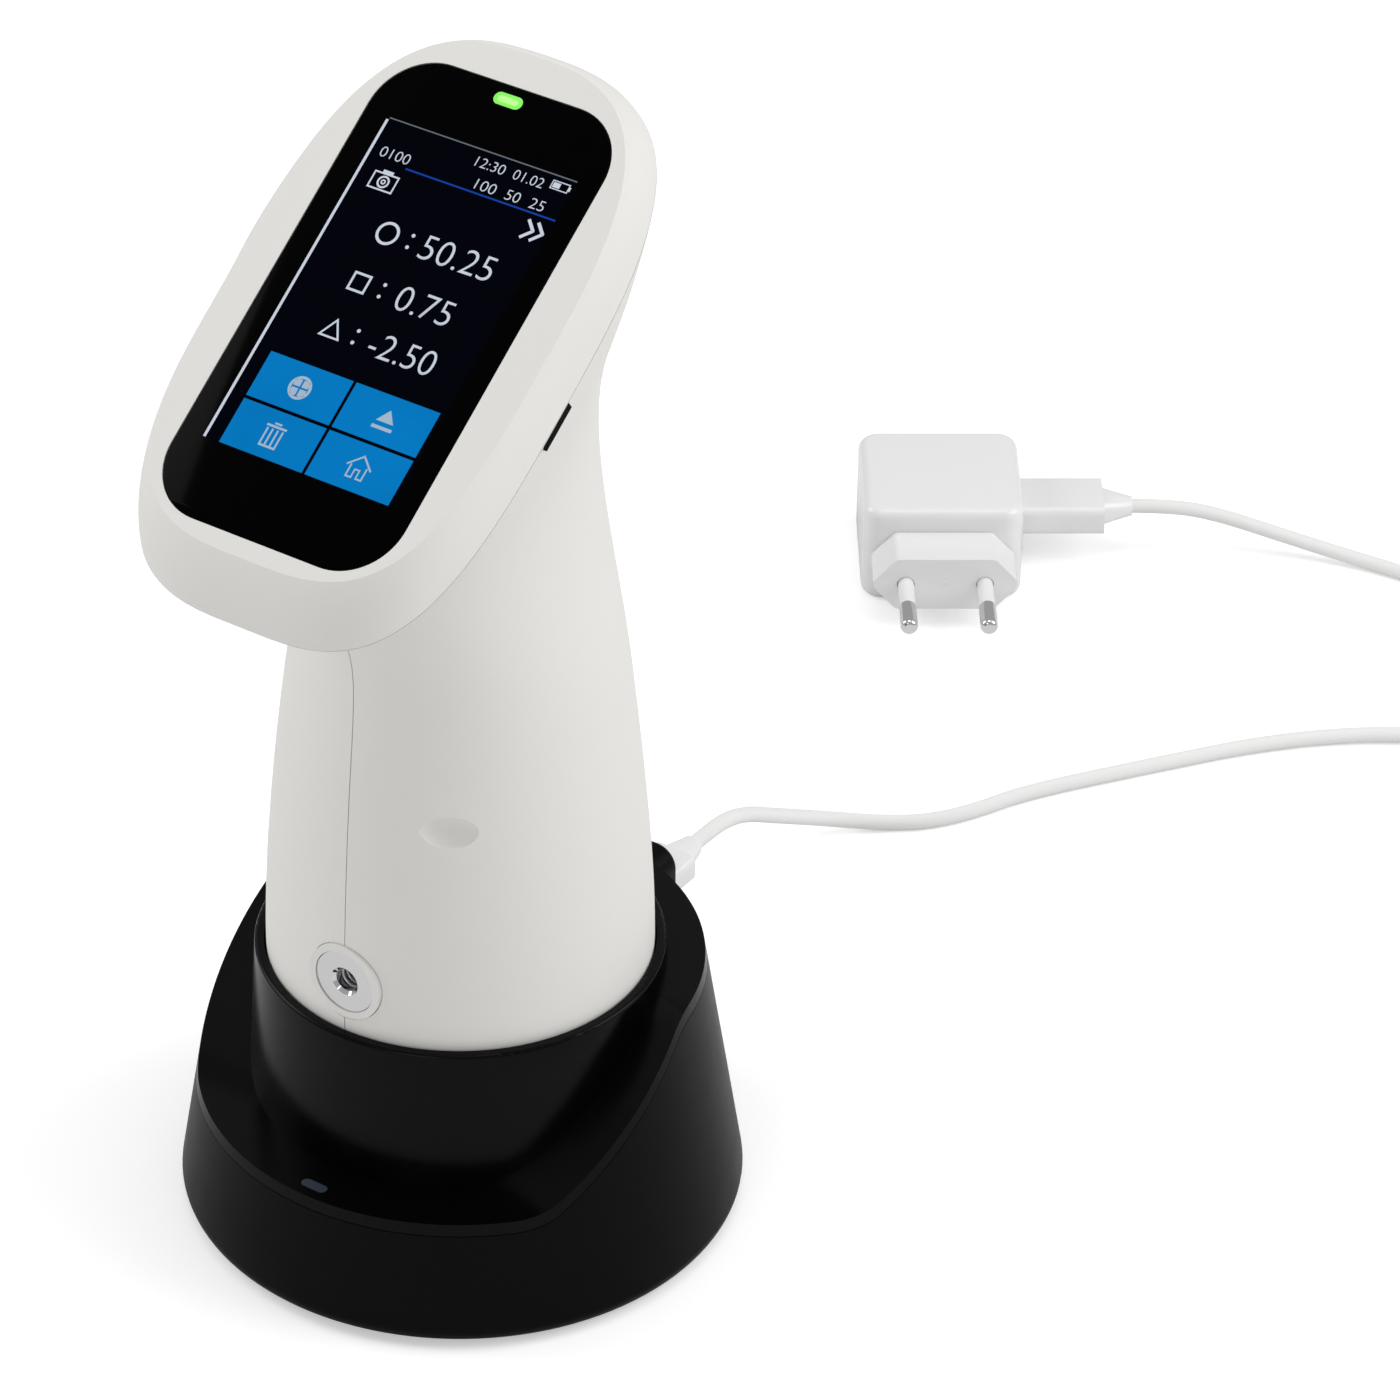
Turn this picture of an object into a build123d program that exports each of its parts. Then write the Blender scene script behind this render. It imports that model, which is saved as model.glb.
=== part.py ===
from build123d import *
from math import cos, pi, radians, sin, tan
import os

# Color spectrophotometer: a white hand-held instrument standing in a black charging base,
# with the white USB cord and the wall adapter that feed the base. Millimetres, +Z up.
# The origin is on the floor, under the centre of the base. The screen faces -Y.

# Fits and walls
SEAM = 0.2
SEAT_GAP = 0.3
SLIP = 0.15
SHELL_WALL = 2.4

# Head: a slab that leans back, with its own frame at the middle of the glass
SCREEN_TILT = 34.7
HEAD_Y = -21.8
HEAD_Z = 219.0
HEAD_WIDTH = 76.4
HEAD_LENGTH = 127.2
HEAD_SHIFT = -1.4
PARTING_DEPTH = 10.3
CREASE_INSET = 2.6
CHIN_SLOPE = 9.7
BROW_SLOPE = 3.6
FACE_PLATE = 3.4

GLASS_WIDTH = 54.6
GLASS_LENGTH = 102.8
GLASS_CORNER = 12.5
GLASS_THICK = 1.3
WINDOW_MARGIN = 3.5
DISPLAY_WIDTH = 54.4
DISPLAY_LENGTH = 86.0
DISPLAY_THICK = 3.2
LIGHT_LENGTH = 6.4
LIGHT_WIDTH = 2.6
LIGHT_S = 48.3
LIGHT_PIPE_DEPTH = 4.6

BOARD_WIDTH = 59.0
BOARD_LENGTH = 72.0
BOARD_THICK = 1.6
BOARD_DEPTH = 13.3
POST_RADIUS = 2.0
POST_X = 29.5
POST_S = 33.0

SLOT_S = -5.8
SLOT_LENGTH = 10.2
SLOT_WIDTH = 2.6
SLOT_OFFSET = 0.3
PORT_LENGTH = 7.6
PORT_REACH = 6.6

# Handle: round at the base, slimmer at the neck, opening out under the head
INSTRUMENT_BOTTOM = 34.0
HANDLE_RADIUS = 39.7
FAN_Z = 140.0
FAN_Y = HEAD_Y + PARTING_DEPTH * sin(radians(SCREEN_TILT)) - (
    (HEAD_Z - PARTING_DEPTH * cos(radians(SCREEN_TILT)) - FAN_Z) / tan(radians(SCREEN_TILT))
)

DIMPLE_LENGTH = 13.2
DIMPLE_HEIGHT = 7.1
DIMPLE_DEPTH = 1.5
DIMPLE_Z = 112.2
DIMPLE_TURN = 33.1
DIMPLE_REACH = 36.64
DIMPLE_RISE = 0.11

# Tripod insert in the front of the handle, quarter-inch thread
INSERT_Z = 73.0
INSERT_FACE = 13.8
INSERT_SHANK = 9.4
INSERT_LENGTH = 11.5
INSERT_BORE = 5.1
TRIM_DIAMETER = 17.1
TRIM_THICK = 1.8

# Measuring end and the parts inside the handle
COVER_THICK = 3.0
APERTURE = 8.0
APERTURE_RING = 25.4
SPHERE_RADIUS = 20.5
SPHERE_BLOCK_RADIUS = 24.5
LAMP_BOARD_THICK = 1.6
SPECTROMETER = (32.0, 42.0, 28.0)
BATTERY = (28.0, 35.0, 41.0)
SCREW_RING = 33.8
SCREW_SHANK = 2.5
SCREW_HEAD = 4.4
SCREW_BOSS = 3.6
PAD_DIAMETER = 4.0
PIN_SPACING = 8.0
PIN_Y = 29.0

# Measure button in the back of the neck
BUTTON_Z = 186.0
BUTTON_WIDTH = 10.0
BUTTON_HEIGHT = 18.0
BUTTON_TRAVEL = 1.0
BUTTON_FLANGE = 1.2

# Charging base
SKIRT_RADIUS = 59.3
SKIRT_TAPER = 0.16
SKIRT_WALL = 2.8
SKIRT_FOOT = 1.0
SKIRT_ROUND = 3.4
LEDGE_LOW = 29.0
LEDGE_HIGH = 57.5
LEDGE_RISE_FROM = -33.0
LEDGE_RISE_TO = 7.0
LEDGE_ROUND = 14.0
LEDGE_THICK = 2.6
COLLAR_TOP = 61.6
COLLAR_FOOT_RADIUS = 45.5
COLLAR_TAPER = 0.055
CUP_CLEARANCE = 0.45
CUP_FLOOR_THICK = 2.4
TILE_DIAMETER = 40.0
TILE_THICK = 5.0
HOLDER_WALL = 2.0
PIN_DIAMETER = 1.6
PIN_TRAVEL = 0.6
BARREL_DIAMETER = 3.0
PLATE_THICK = 2.2
FOOT_OUTER_RADIUS = 52.0
FOOT_INNER_RADIUS = 44.0
FOOT_SEAT = 0.8
BASE_LIGHT_LENGTH = 6.0
BASE_LIGHT_WIDTH = 2.4
BASE_LIGHT_Y = -51.0
BASE_SCREW_RING = 36.0

# Socket boss at the back of the base
BOSS_WIDTH = 20.0
BOSS_BOTTOM = 25.0
BOSS_TOP = 49.0
BOSS_END_Y = 65.0
BOSS_ROUND = 5.0
SOCKET_Z = 34.0
SOCKET_WIDTH = 8.2
SOCKET_HEIGHT = 3.0

# Cord and wall adapter
CORD = 3.5
PLUG_WIDTH = 11.0
PLUG_HEIGHT = 6.8
PLUG_LENGTH = 13.0
RELIEF_LENGTH = 7.0
COIL_TURNS = 5
COIL_PITCH = 4.3
COIL_OUTER = 24.0
COIL_REVERSE = 0.9
COIL_LIFT = 0.9
TIE_WIDTH = 9.0
TIE_THICK = 0.6
USB_A_WIDTH = 15.6
USB_A_HEIGHT = 7.6
USB_A_LENGTH = 20.0
ADAPTER_WIDTH = 38.0
ADAPTER_HEIGHT = 25.0
ADAPTER_LENGTH = 37.0
HEAD_BLOCK_WIDTH = 35.3
HEAD_BLOCK_HEIGHT = 13.7
HEAD_BLOCK_LENGTH = 12.0
MAINS_PIN = 4.0
MAINS_PIN_LENGTH = 19.0
MAINS_PIN_PITCH = 18.6
SLEEVE_LENGTH = 10.0
SLEEVE_RADIUS = 1.9

NODES = {}


def keep(name, shape):
    """Hold a finished sub-part under its node name."""
    NODES[name] = shape
    return shape


def round_bar(radius, length, start, direction):
    """Cylinder from a start point along a direction."""
    plane = Plane(origin=start, z_dir=direction)
    return plane * Cylinder(radius, length, align=(Align.CENTER, Align.CENTER, Align.MIN))


def block(x0, x1, y0, y1, z0, z1):
    """Box between two corners."""
    return Pos((x0 + x1) / 2, (y0 + y1) / 2, (z0 + z1) / 2) * Box(x1 - x0, y1 - y0, z1 - z0)


def upright(radius, z0, z1, x=0.0, y=0.0):
    """Vertical cylinder between two heights."""
    return Pos(x, y, (z0 + z1) / 2) * Cylinder(radius, z1 - z0)


# Head frame: local X across, local Y up the screen, local Z out of the glass
TILT = radians(SCREEN_TILT)
HEAD = Plane(origin=(0, HEAD_Y, HEAD_Z), x_dir=(1, 0, 0), z_dir=(0, -sin(TILT), cos(TILT)))


def at_depth(depth):
    """Plane of the head, moved into the instrument by a depth."""
    return HEAD.offset(-depth)


def half_oval(half_width, front, rear, power_front, power_rear):
    """Points of the right half of an oval from its front to its rear, squarer as the power grows."""
    middle = (front + rear) / 2
    reach = (rear - front) / 2
    points = []
    steps = 12
    for step in range(steps + 1):
        turn = -pi / 2 + pi * step / steps
        power = power_front if turn < 0 else power_rear
        across = abs(cos(turn)) ** (2 / power)
        along = abs(sin(turn)) ** (2 / power)
        if step in (0, steps):
            across = 0
        points.append((half_width * across, middle + reach * along * (1 if turn > 0 else -1)))
    return points


def whole_face(plane, half_width, front, rear, power_front=2.0, power_rear=2.0):
    """Full oval as a face on a plane."""
    right = half_oval(half_width, front, rear, power_front, power_rear)
    left = [(-x, y) for x, y in reversed(right[1:-1])]
    middle = len(left) // 2
    ring = left[middle:] + right + left[:middle]
    return plane * make_face(Spline(ring, periodic=True))


# Front bezel: squared oval, steep at the sides, sloping at the chin, flat round the glass
HEAD_FRONT = HEAD_SHIFT - HEAD_LENGTH / 2
HEAD_REAR = HEAD_SHIFT + HEAD_LENGTH / 2
CHIN_POWER = 3.4
BROW_POWER = 2.9


def head_face(depth, inset_side, inset_chin, inset_brow):
    """Outline of the head at a depth, drawn in from its widest by three insets."""
    return whole_face(
        at_depth(depth),
        HEAD_WIDTH / 2 - inset_side,
        HEAD_FRONT + inset_chin,
        HEAD_REAR - inset_brow,
        CHIN_POWER,
        BROW_POWER,
    )


def glass_outline(grow):
    """Rounded rectangle of the glass, grown by an amount on every side."""
    return RectangleRounded(
        GLASS_WIDTH + 2 * grow, GLASS_LENGTH + 2 * grow, max(GLASS_CORNER + grow, 1)
    )


def make_bezel():
    """White front cover with the glass recess, the window and four board posts."""
    body = loft(
        [
            head_face(PARTING_DEPTH - SEAM / 2, 0, 0, 0),
            head_face(PARTING_DEPTH * 0.55, 0.15 * CREASE_INSET, 0.32 * CHIN_SLOPE, 0.14 * BROW_SLOPE),
            head_face(PARTING_DEPTH * 0.22, 0.5 * CREASE_INSET, 0.68 * CHIN_SLOPE, 0.5 * BROW_SLOPE),
            head_face(0, CREASE_INSET, CHIN_SLOPE, BROW_SLOPE),
        ]
    )
    wall = SHELL_WALL + CREASE_INSET
    cavity = loft(
        [
            head_face(PARTING_DEPTH, SHELL_WALL, SHELL_WALL, SHELL_WALL),
            head_face(FACE_PLATE, wall, SHELL_WALL + 0.8 * CHIN_SLOPE, SHELL_WALL + BROW_SLOPE),
        ]
    )
    recess = extrude(HEAD * glass_outline(SLIP), -(GLASS_THICK + SLIP))
    window = extrude(HEAD * glass_outline(-WINDOW_MARGIN), -2 * FACE_PLATE)
    light_hole = extrude(
        HEAD * Pos(0, LIGHT_S) * SlotOverall(LIGHT_LENGTH + 2 * SLIP, LIGHT_WIDTH + 2 * SLIP),
        -2 * FACE_PLATE,
    )
    body = body - cavity - recess - window - light_hole
    for x in (-POST_X, POST_X):
        for s in (-POST_S, POST_S):
            post = extrude(
                at_depth(FACE_PLATE - 0.5) * Pos(x, s) * Circle(POST_RADIUS),
                -(BOARD_DEPTH - SEAT_GAP - FACE_PLATE + 0.5),
            )
            body = body + post
    return body


keep("front_bezel", make_bezel())

keep("screen_glass", extrude(at_depth(GLASS_THICK) * glass_outline(0), GLASS_THICK))
keep(
    "display_panel",
    extrude(
        at_depth(FACE_PLATE + SEAT_GAP) * RectangleRounded(DISPLAY_WIDTH, DISPLAY_LENGTH, 1.5),
        -DISPLAY_THICK,
    ),
)
keep(
    "screen_light",
    extrude(
        at_depth(GLASS_THICK + SLIP) * Pos(0, LIGHT_S) * SlotOverall(LIGHT_LENGTH, LIGHT_WIDTH),
        -LIGHT_PIPE_DEPTH,
    ),
)

# Handle shells: sections fan from the tilted parting plane down to the round grip


def fan_section(angle, half_width, front, rear, power_front, power_rear, wall, lift=0.0):
    """Oval section on a plane that turns about the fan line; front and rear are world Y."""
    turn = radians(angle)
    plane = Plane(origin=(0, FAN_Y, FAN_Z), x_dir=(1, 0, 0), z_dir=(0, -sin(turn), cos(turn))).offset(lift)
    return whole_face(
        plane,
        half_width - wall,
        (front - FAN_Y) / cos(turn) + wall,
        (rear - FAN_Y) / cos(turn) - wall,
        power_front,
        power_rear,
    )


def level_section(z, half_width, front, rear, wall):
    """Oval section of the grip on a level plane."""
    return whole_face(Plane.XY.offset(z), half_width - wall, front + wall, rear - wall)


TILT_Y = cos(TILT)
PARTING_Y = HEAD_Y + PARTING_DEPTH * sin(TILT)
CHIN_Y = PARTING_Y + HEAD_FRONT * TILT_Y
BROW_Y = PARTING_Y + HEAD_REAR * TILT_Y


def handle_sections(wall, low, lift):
    """Sections of the handle, from the measuring end to the parting plane."""
    return [
        level_section(low, HANDLE_RADIUS, -HANDLE_RADIUS, HANDLE_RADIUS, wall),
        level_section(44, HANDLE_RADIUS, -HANDLE_RADIUS, HANDLE_RADIUS, wall),
        level_section(54, HANDLE_RADIUS, -HANDLE_RADIUS, HANDLE_RADIUS, wall),
        level_section(64, HANDLE_RADIUS, -HANDLE_RADIUS, HANDLE_RADIUS, wall),
        level_section(92, HANDLE_RADIUS - 1.6, -38.6, 38.4, wall),
        level_section(120, HANDLE_RADIUS - 4.7, -36.3, 36.2, wall),
        fan_section(0, 31.8, -34.6, 34.6, 2.0, 2.0, wall),
        fan_section(9, 27.2, -37.0, 33.6, 2.05, 2.0, wall),
        fan_section(17, 25.4, -43.5, 33.2, 2.2, 2.1, wall),
        fan_section(24, 28.6, -52.5, 33.7, 2.5, 2.3, wall),
        fan_section(30, 34.2, -61.8, 35.0, 2.9, 2.6, wall),
        fan_section(SCREEN_TILT, HEAD_WIDTH / 2, CHIN_Y, BROW_Y, CHIN_POWER, BROW_POWER, wall, lift),
    ]


def screw_places():
    """Places of the four screws that hold the cover to the shells."""
    return [
        (SCREW_RING * cos(radians(turn)), SCREW_RING * sin(radians(turn)))
        for turn in (35, 145, 215, 325)
    ]


COVER_TOP = INSTRUMENT_BOTTOM + COVER_THICK
BUTTON_FACE_Y = 34.9
FLANGE_BACK_Y = BUTTON_FACE_Y - 8.0
RAIL_X = 7.4


def make_half_shell():
    """Right half of the handle and head back, hollow, with its bosses and cut-outs."""
    seam_plane = Plane.YZ.offset(SEAM / 2)
    whole = loft(handle_sections(0, INSTRUMENT_BOTTOM, -SEAM / 2))
    inside = loft(handle_sections(SHELL_WALL, INSTRUMENT_BOTTOM - 2, 2.0))
    outside = split(whole, seam_plane, keep=Keep.TOP)
    shell = split(whole - inside, seam_plane, keep=Keep.TOP)
    insert_boss = round_bar(
        TRIM_DIAMETER / 2 + 2,
        INSERT_LENGTH + 3,
        (0, -HANDLE_RADIUS + INSERT_LENGTH + 1.5, INSERT_Z),
        (0, -1, 0),
    )
    shell = shell + (insert_boss & outside)
    for x, y in screw_places():
        if x > 0:
            shell = shell + (upright(SCREW_BOSS, COVER_TOP + SEAT_GAP, COVER_TOP + 14, x, y) & outside)
            shell = shell - upright(SCREW_SHANK / 2 + 0.05, COVER_TOP, COVER_TOP + 12, x, y)
    rail = block(RAIL_X, RAIL_X + 1.6, 24.0, 32.0, BUTTON_Z - 11, BUTTON_Z + 11)
    shell = shell + (rail & outside)
    trim_hole = round_bar(
        TRIM_DIAMETER / 2 + SLIP, 6, (0, -HANDLE_RADIUS + TRIM_THICK, INSERT_Z), (0, -1, 0)
    )
    shank_hole = round_bar(
        INSERT_SHANK / 2 + SLIP, 30, (0, -HANDLE_RADIUS + 20, INSERT_Z), (0, -1, 0)
    )
    button_hole = extrude(
        Plane(origin=(0, 25, BUTTON_Z), x_dir=(1, 0, 0), z_dir=(0, 1, 0))
        * RectangleRounded(BUTTON_WIDTH + 2 * SLIP, BUTTON_HEIGHT + 2 * SLIP, BUTTON_WIDTH / 2),
        20,
    )
    return shell - trim_hole - shank_hole - button_hole


def port_slot():
    """Slit for the service port in the right side of the head."""
    return extrude(
        at_depth(PARTING_DEPTH + SLOT_OFFSET) * Pos(36, SLOT_S) * Rectangle(12, SLOT_LENGTH),
        -SLOT_WIDTH,
    )


def thumb_dimple():
    """Pointed shallow hollow in the right side of the handle, cut by a flattened spindle."""
    half = DIMPLE_LENGTH / 2
    bow = ThreePointArc((-half, 0), (0, DIMPLE_HEIGHT / 2), (half, 0))
    spindle = revolve(make_face([bow, Line((half, 0), (-half, 0))]), Axis.X, 360)
    turn = radians(DIMPLE_TURN)
    reach = DIMPLE_REACH
    place = Plane(
        origin=(reach * sin(turn), -reach * cos(turn), DIMPLE_Z),
        x_dir=(cos(turn), sin(turn), 0),
        z_dir=(sin(turn), -cos(turn), DIMPLE_RISE),
    )
    return place * scale(spindle, (1, 1, 2 * DIMPLE_DEPTH / DIMPLE_HEIGHT))


half_shell = make_half_shell()
keep("right_handle_shell", half_shell - thumb_dimple() - port_slot())
keep("left_handle_shell", mirror(half_shell, Plane.YZ))

# Parts behind the screen
keep(
    "main_board",
    extrude(at_depth(BOARD_DEPTH) * RectangleRounded(BOARD_WIDTH, BOARD_LENGTH, 3), -BOARD_THICK),
)
port_body = extrude(
    at_depth(BOARD_DEPTH - 0.1 - SLOT_WIDTH + 0.2)
    * Pos(BOARD_WIDTH / 2 + 1.5, SLOT_S)
    * Rectangle(PORT_REACH + 3, PORT_LENGTH),
    -(SLOT_WIDTH - 0.2),
)
port_mouth = extrude(
    at_depth(BOARD_DEPTH - SLOT_WIDTH + 0.5)
    * Pos(BOARD_WIDTH / 2 + 4.5, SLOT_S)
    * Rectangle(PORT_REACH, PORT_LENGTH - 0.8),
    -(SLOT_WIDTH - 1.0),
)
keep("service_port", port_body - port_mouth)

# Tripod insert and the white ring round it
INSERT_OUT = (0, -1, 0)
insert_flange = round_bar(
    INSERT_FACE / 2,
    TRIM_THICK - 0.3 - SLIP,
    (0, -HANDLE_RADIUS + TRIM_THICK - SLIP, INSERT_Z),
    INSERT_OUT,
)
insert_shank = round_bar(
    INSERT_SHANK / 2,
    INSERT_LENGTH - 1,
    (0, -HANDLE_RADIUS + INSERT_LENGTH + 0.3, INSERT_Z),
    INSERT_OUT,
)
insert_bore = round_bar(
    INSERT_BORE / 2, INSERT_LENGTH, (0, -HANDLE_RADIUS + INSERT_LENGTH - 0.7, INSERT_Z), INSERT_OUT
)
INSERT_CHAMFER = 0.65
insert_mouth = Plane(
    origin=(0, -HANDLE_RADIUS + 0.3 + INSERT_CHAMFER / 2, INSERT_Z), z_dir=INSERT_OUT
) * Cone(INSERT_BORE / 2, INSERT_BORE / 2 + INSERT_CHAMFER, INSERT_CHAMFER)
keep("tripod_insert", insert_flange + insert_shank - insert_bore - insert_mouth)
trim_outer = round_bar(
    TRIM_DIAMETER / 2, TRIM_THICK - SLIP, (0, -HANDLE_RADIUS + TRIM_THICK - SLIP, INSERT_Z), INSERT_OUT
)
trim_inner = round_bar(INSERT_FACE / 2 + SLIP, 10, (0, -HANDLE_RADIUS + 5, INSERT_Z), INSERT_OUT)
keep("insert_trim_ring", trim_outer - trim_inner)

# Measuring end: cover, aperture ring, sphere, lamp board, spectrometer, battery
cover_radius = HANDLE_RADIUS - SHELL_WALL - SEAT_GAP
cover = upright(cover_radius, INSTRUMENT_BOTTOM, COVER_TOP)
cover = cover - upright(APERTURE_RING / 2 + SLIP, INSTRUMENT_BOTTOM - 1, COVER_TOP + 1)
for x, y in screw_places():
    cover = cover - upright(SCREW_SHANK / 2 + SLIP, INSTRUMENT_BOTTOM - 1, COVER_TOP + 1, x, y)
    cover = cover - upright(SCREW_HEAD / 2 + SLIP, INSTRUMENT_BOTTOM - 1, INSTRUMENT_BOTTOM + 1.8, x, y)
for x in (-PIN_SPACING / 2, PIN_SPACING / 2):
    cover = cover - upright(PAD_DIAMETER / 2 + SLIP, INSTRUMENT_BOTTOM - 1, COVER_TOP + 1, x, PIN_Y)
keep("measuring_end_cover", cover)

RING_FLANGE = 1.4
ring = upright(APERTURE_RING / 2, INSTRUMENT_BOTTOM, COVER_TOP + 0.1)
ring = ring + upright(APERTURE_RING / 2 + 2, COVER_TOP + SLIP, COVER_TOP + RING_FLANGE)
ring = ring + upright(APERTURE_RING / 2, COVER_TOP, COVER_TOP + RING_FLANGE)
ring = ring - Pos(0, 0, (INSTRUMENT_BOTTOM + COVER_TOP + RING_FLANGE) / 2) * Cone(
    APERTURE / 2, APERTURE / 2 + 3, COVER_THICK + RING_FLANGE
)
keep("aperture_ring", ring)

SPHERE_BOTTOM = COVER_TOP + RING_FLANGE + SEAT_GAP
SPHERE_TOP = SPHERE_BOTTOM + 2 * SPHERE_RADIUS + 5
SPHERE_MIDDLE = (SPHERE_BOTTOM + SPHERE_TOP) / 2
sphere = upright(SPHERE_BLOCK_RADIUS, SPHERE_BOTTOM, SPHERE_TOP)
sphere = sphere - Pos(0, 0, SPHERE_MIDDLE) * Sphere(SPHERE_RADIUS)
sphere = sphere - upright(APERTURE / 2 + 3, SPHERE_BOTTOM - 1, SPHERE_MIDDLE)
sphere = sphere - upright(5, SPHERE_MIDDLE, SPHERE_TOP + 1)
keep("integrating_sphere", sphere)

LAMP_BOTTOM = SPHERE_TOP + SEAT_GAP
keep("lamp_board", upright(SPHERE_BLOCK_RADIUS, LAMP_BOTTOM, LAMP_BOTTOM + LAMP_BOARD_THICK))

SPECTRO_BOTTOM = LAMP_BOTTOM + LAMP_BOARD_THICK + SEAT_GAP
SPECTRO_TOP = SPECTRO_BOTTOM + SPECTROMETER[2]
spectro = block(
    -SPECTROMETER[0] / 2,
    SPECTROMETER[0] / 2,
    -SPECTROMETER[1] / 2,
    SPECTROMETER[1] / 2,
    SPECTRO_BOTTOM,
    SPECTRO_TOP,
)
keep("spectrometer_module", fillet(spectro.edges().filter_by(Axis.Z), 3))

BATTERY_BOTTOM = SPECTRO_TOP + SEAT_GAP
battery = block(
    -BATTERY[0] / 2,
    BATTERY[0] / 2,
    -BATTERY[1] / 2,
    BATTERY[1] / 2,
    BATTERY_BOTTOM,
    BATTERY_BOTTOM + BATTERY[2],
)
keep("battery_pack", fillet(battery.edges().filter_by(Axis.Z), 4))

screws = Part()
for x, y in screw_places():
    screws = screws + upright(SCREW_HEAD / 2, INSTRUMENT_BOTTOM + 0.2, INSTRUMENT_BOTTOM + 1.7, x, y)
    screws = screws + upright(SCREW_SHANK / 2 - 0.1, INSTRUMENT_BOTTOM + 1.7, COVER_TOP + 10, x, y)
keep("cover_screws", screws)

pads = Part()
for x in (-PIN_SPACING / 2, PIN_SPACING / 2):
    pads = pads + upright(PAD_DIAMETER / 2, INSTRUMENT_BOTTOM + 0.2, COVER_TOP - 0.2, x, PIN_Y)
keep("charging_pads", pads)

# Measure button, its switch and the small board that carries the switch
button_plane = Plane(origin=(0, FLANGE_BACK_Y, BUTTON_Z), x_dir=(1, 0, 0), z_dir=(0, 1, 0))
button = extrude(
    button_plane * RectangleRounded(BUTTON_WIDTH + 2, BUTTON_HEIGHT + 2, BUTTON_WIDTH / 2), BUTTON_FLANGE
)
button = button + extrude(
    button_plane * RectangleRounded(BUTTON_WIDTH, BUTTON_HEIGHT, BUTTON_WIDTH / 2 - 0.05),
    BUTTON_FACE_Y - FLANGE_BACK_Y,
)
button = fillet(button.faces().sort_by(Axis.Y)[-1].edges(), 1.2)
keep("measure_button", button)

SWITCH_FRONT_Y = FLANGE_BACK_Y - BUTTON_TRAVEL - 0.2
SWITCH_BACK_Y = SWITCH_FRONT_Y - 2.0
keep("button_switch", block(-3, 3, SWITCH_BACK_Y, SWITCH_FRONT_Y, BUTTON_Z - 3, BUTTON_Z + 3))
keep(
    "button_board",
    block(
        -RAIL_X - 1.4,
        RAIL_X + 1.4,
        SWITCH_BACK_Y - 1.2 - 0.05,
        SWITCH_BACK_Y - 0.05,
        BUTTON_Z - 11,
        BUTTON_Z + 11,
    ),
)

# Charging base: skirt, top cover with the rising ledge, collar and cup
CUP_RADIUS = HANDLE_RADIUS + CUP_CLEARANCE
CUP_FLOOR = INSTRUMENT_BOTTOM - SEAT_GAP
CUP_UNDER = CUP_FLOOR - CUP_FLOOR_THICK


def skirt_radius(z):
    """Outer radius of the skirt at a height."""
    return SKIRT_RADIUS - SKIRT_TAPER * z


def cone_between(z0, z1, inset=0.0):
    """Solid cone of the skirt between two heights, drawn in by an inset."""
    return Pos(0, 0, (z0 + z1) / 2) * Cone(skirt_radius(z0) - inset, skirt_radius(z1) - inset, z1 - z0)


def ledge_body(drop, depth):
    """Solid under the ledge line, dropped by a height, extruded right across."""
    low = LEDGE_LOW - drop
    high = LEDGE_HIGH - drop
    top = FilletPolyline(
        (-80, low), (LEDGE_RISE_FROM, low), (LEDGE_RISE_TO, high), (80, high), radius=LEDGE_ROUND
    )
    face = make_face([top, Polyline((80, high), (80, depth), (-80, depth), (-80, low))])
    return extrude(Plane(origin=(-80, 0, 0), x_dir=(0, 1, 0), z_dir=(1, 0, 0)) * face, 160)


def make_skirt():
    """Outer skirt of the base with its socket boss."""
    outer = cone_between(SKIRT_FOOT, LEDGE_HIGH)
    outer = fillet(outer.edges().group_by(Axis.Z)[0], SKIRT_ROUND)
    inner = cone_between(SKIRT_FOOT - 1, LEDGE_HIGH + 1, SKIRT_WALL)
    boss = block(-BOSS_WIDTH / 2, BOSS_WIDTH / 2, 40, BOSS_END_Y, BOSS_BOTTOM, BOSS_TOP)
    long_edges = boss.edges().filter_by(Axis.Y)
    boss = fillet(long_edges, BOSS_ROUND)
    end_edges = boss.faces().sort_by(Axis.Y)[-1].edges()
    boss = fillet(end_edges, 1.5)
    socket_room = block(
        -BOSS_WIDTH / 2 + 2, BOSS_WIDTH / 2 - 2, 39, BOSS_END_Y - 2.5, BOSS_BOTTOM + 2.5, BOSS_TOP - 2.5
    )
    socket_hole = block(
        -SOCKET_WIDTH / 2, SOCKET_WIDTH / 2, 50, BOSS_END_Y + 1,
        SOCKET_Z - SOCKET_HEIGHT / 2, SOCKET_Z + SOCKET_HEIGHT / 2,
    )
    skirt = (outer - inner) + (boss - inner)
    skirt = skirt - socket_room - socket_hole
    return skirt & ledge_body(LEDGE_THICK + SEAM, 0)


keep("base_skirt", make_skirt())


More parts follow.
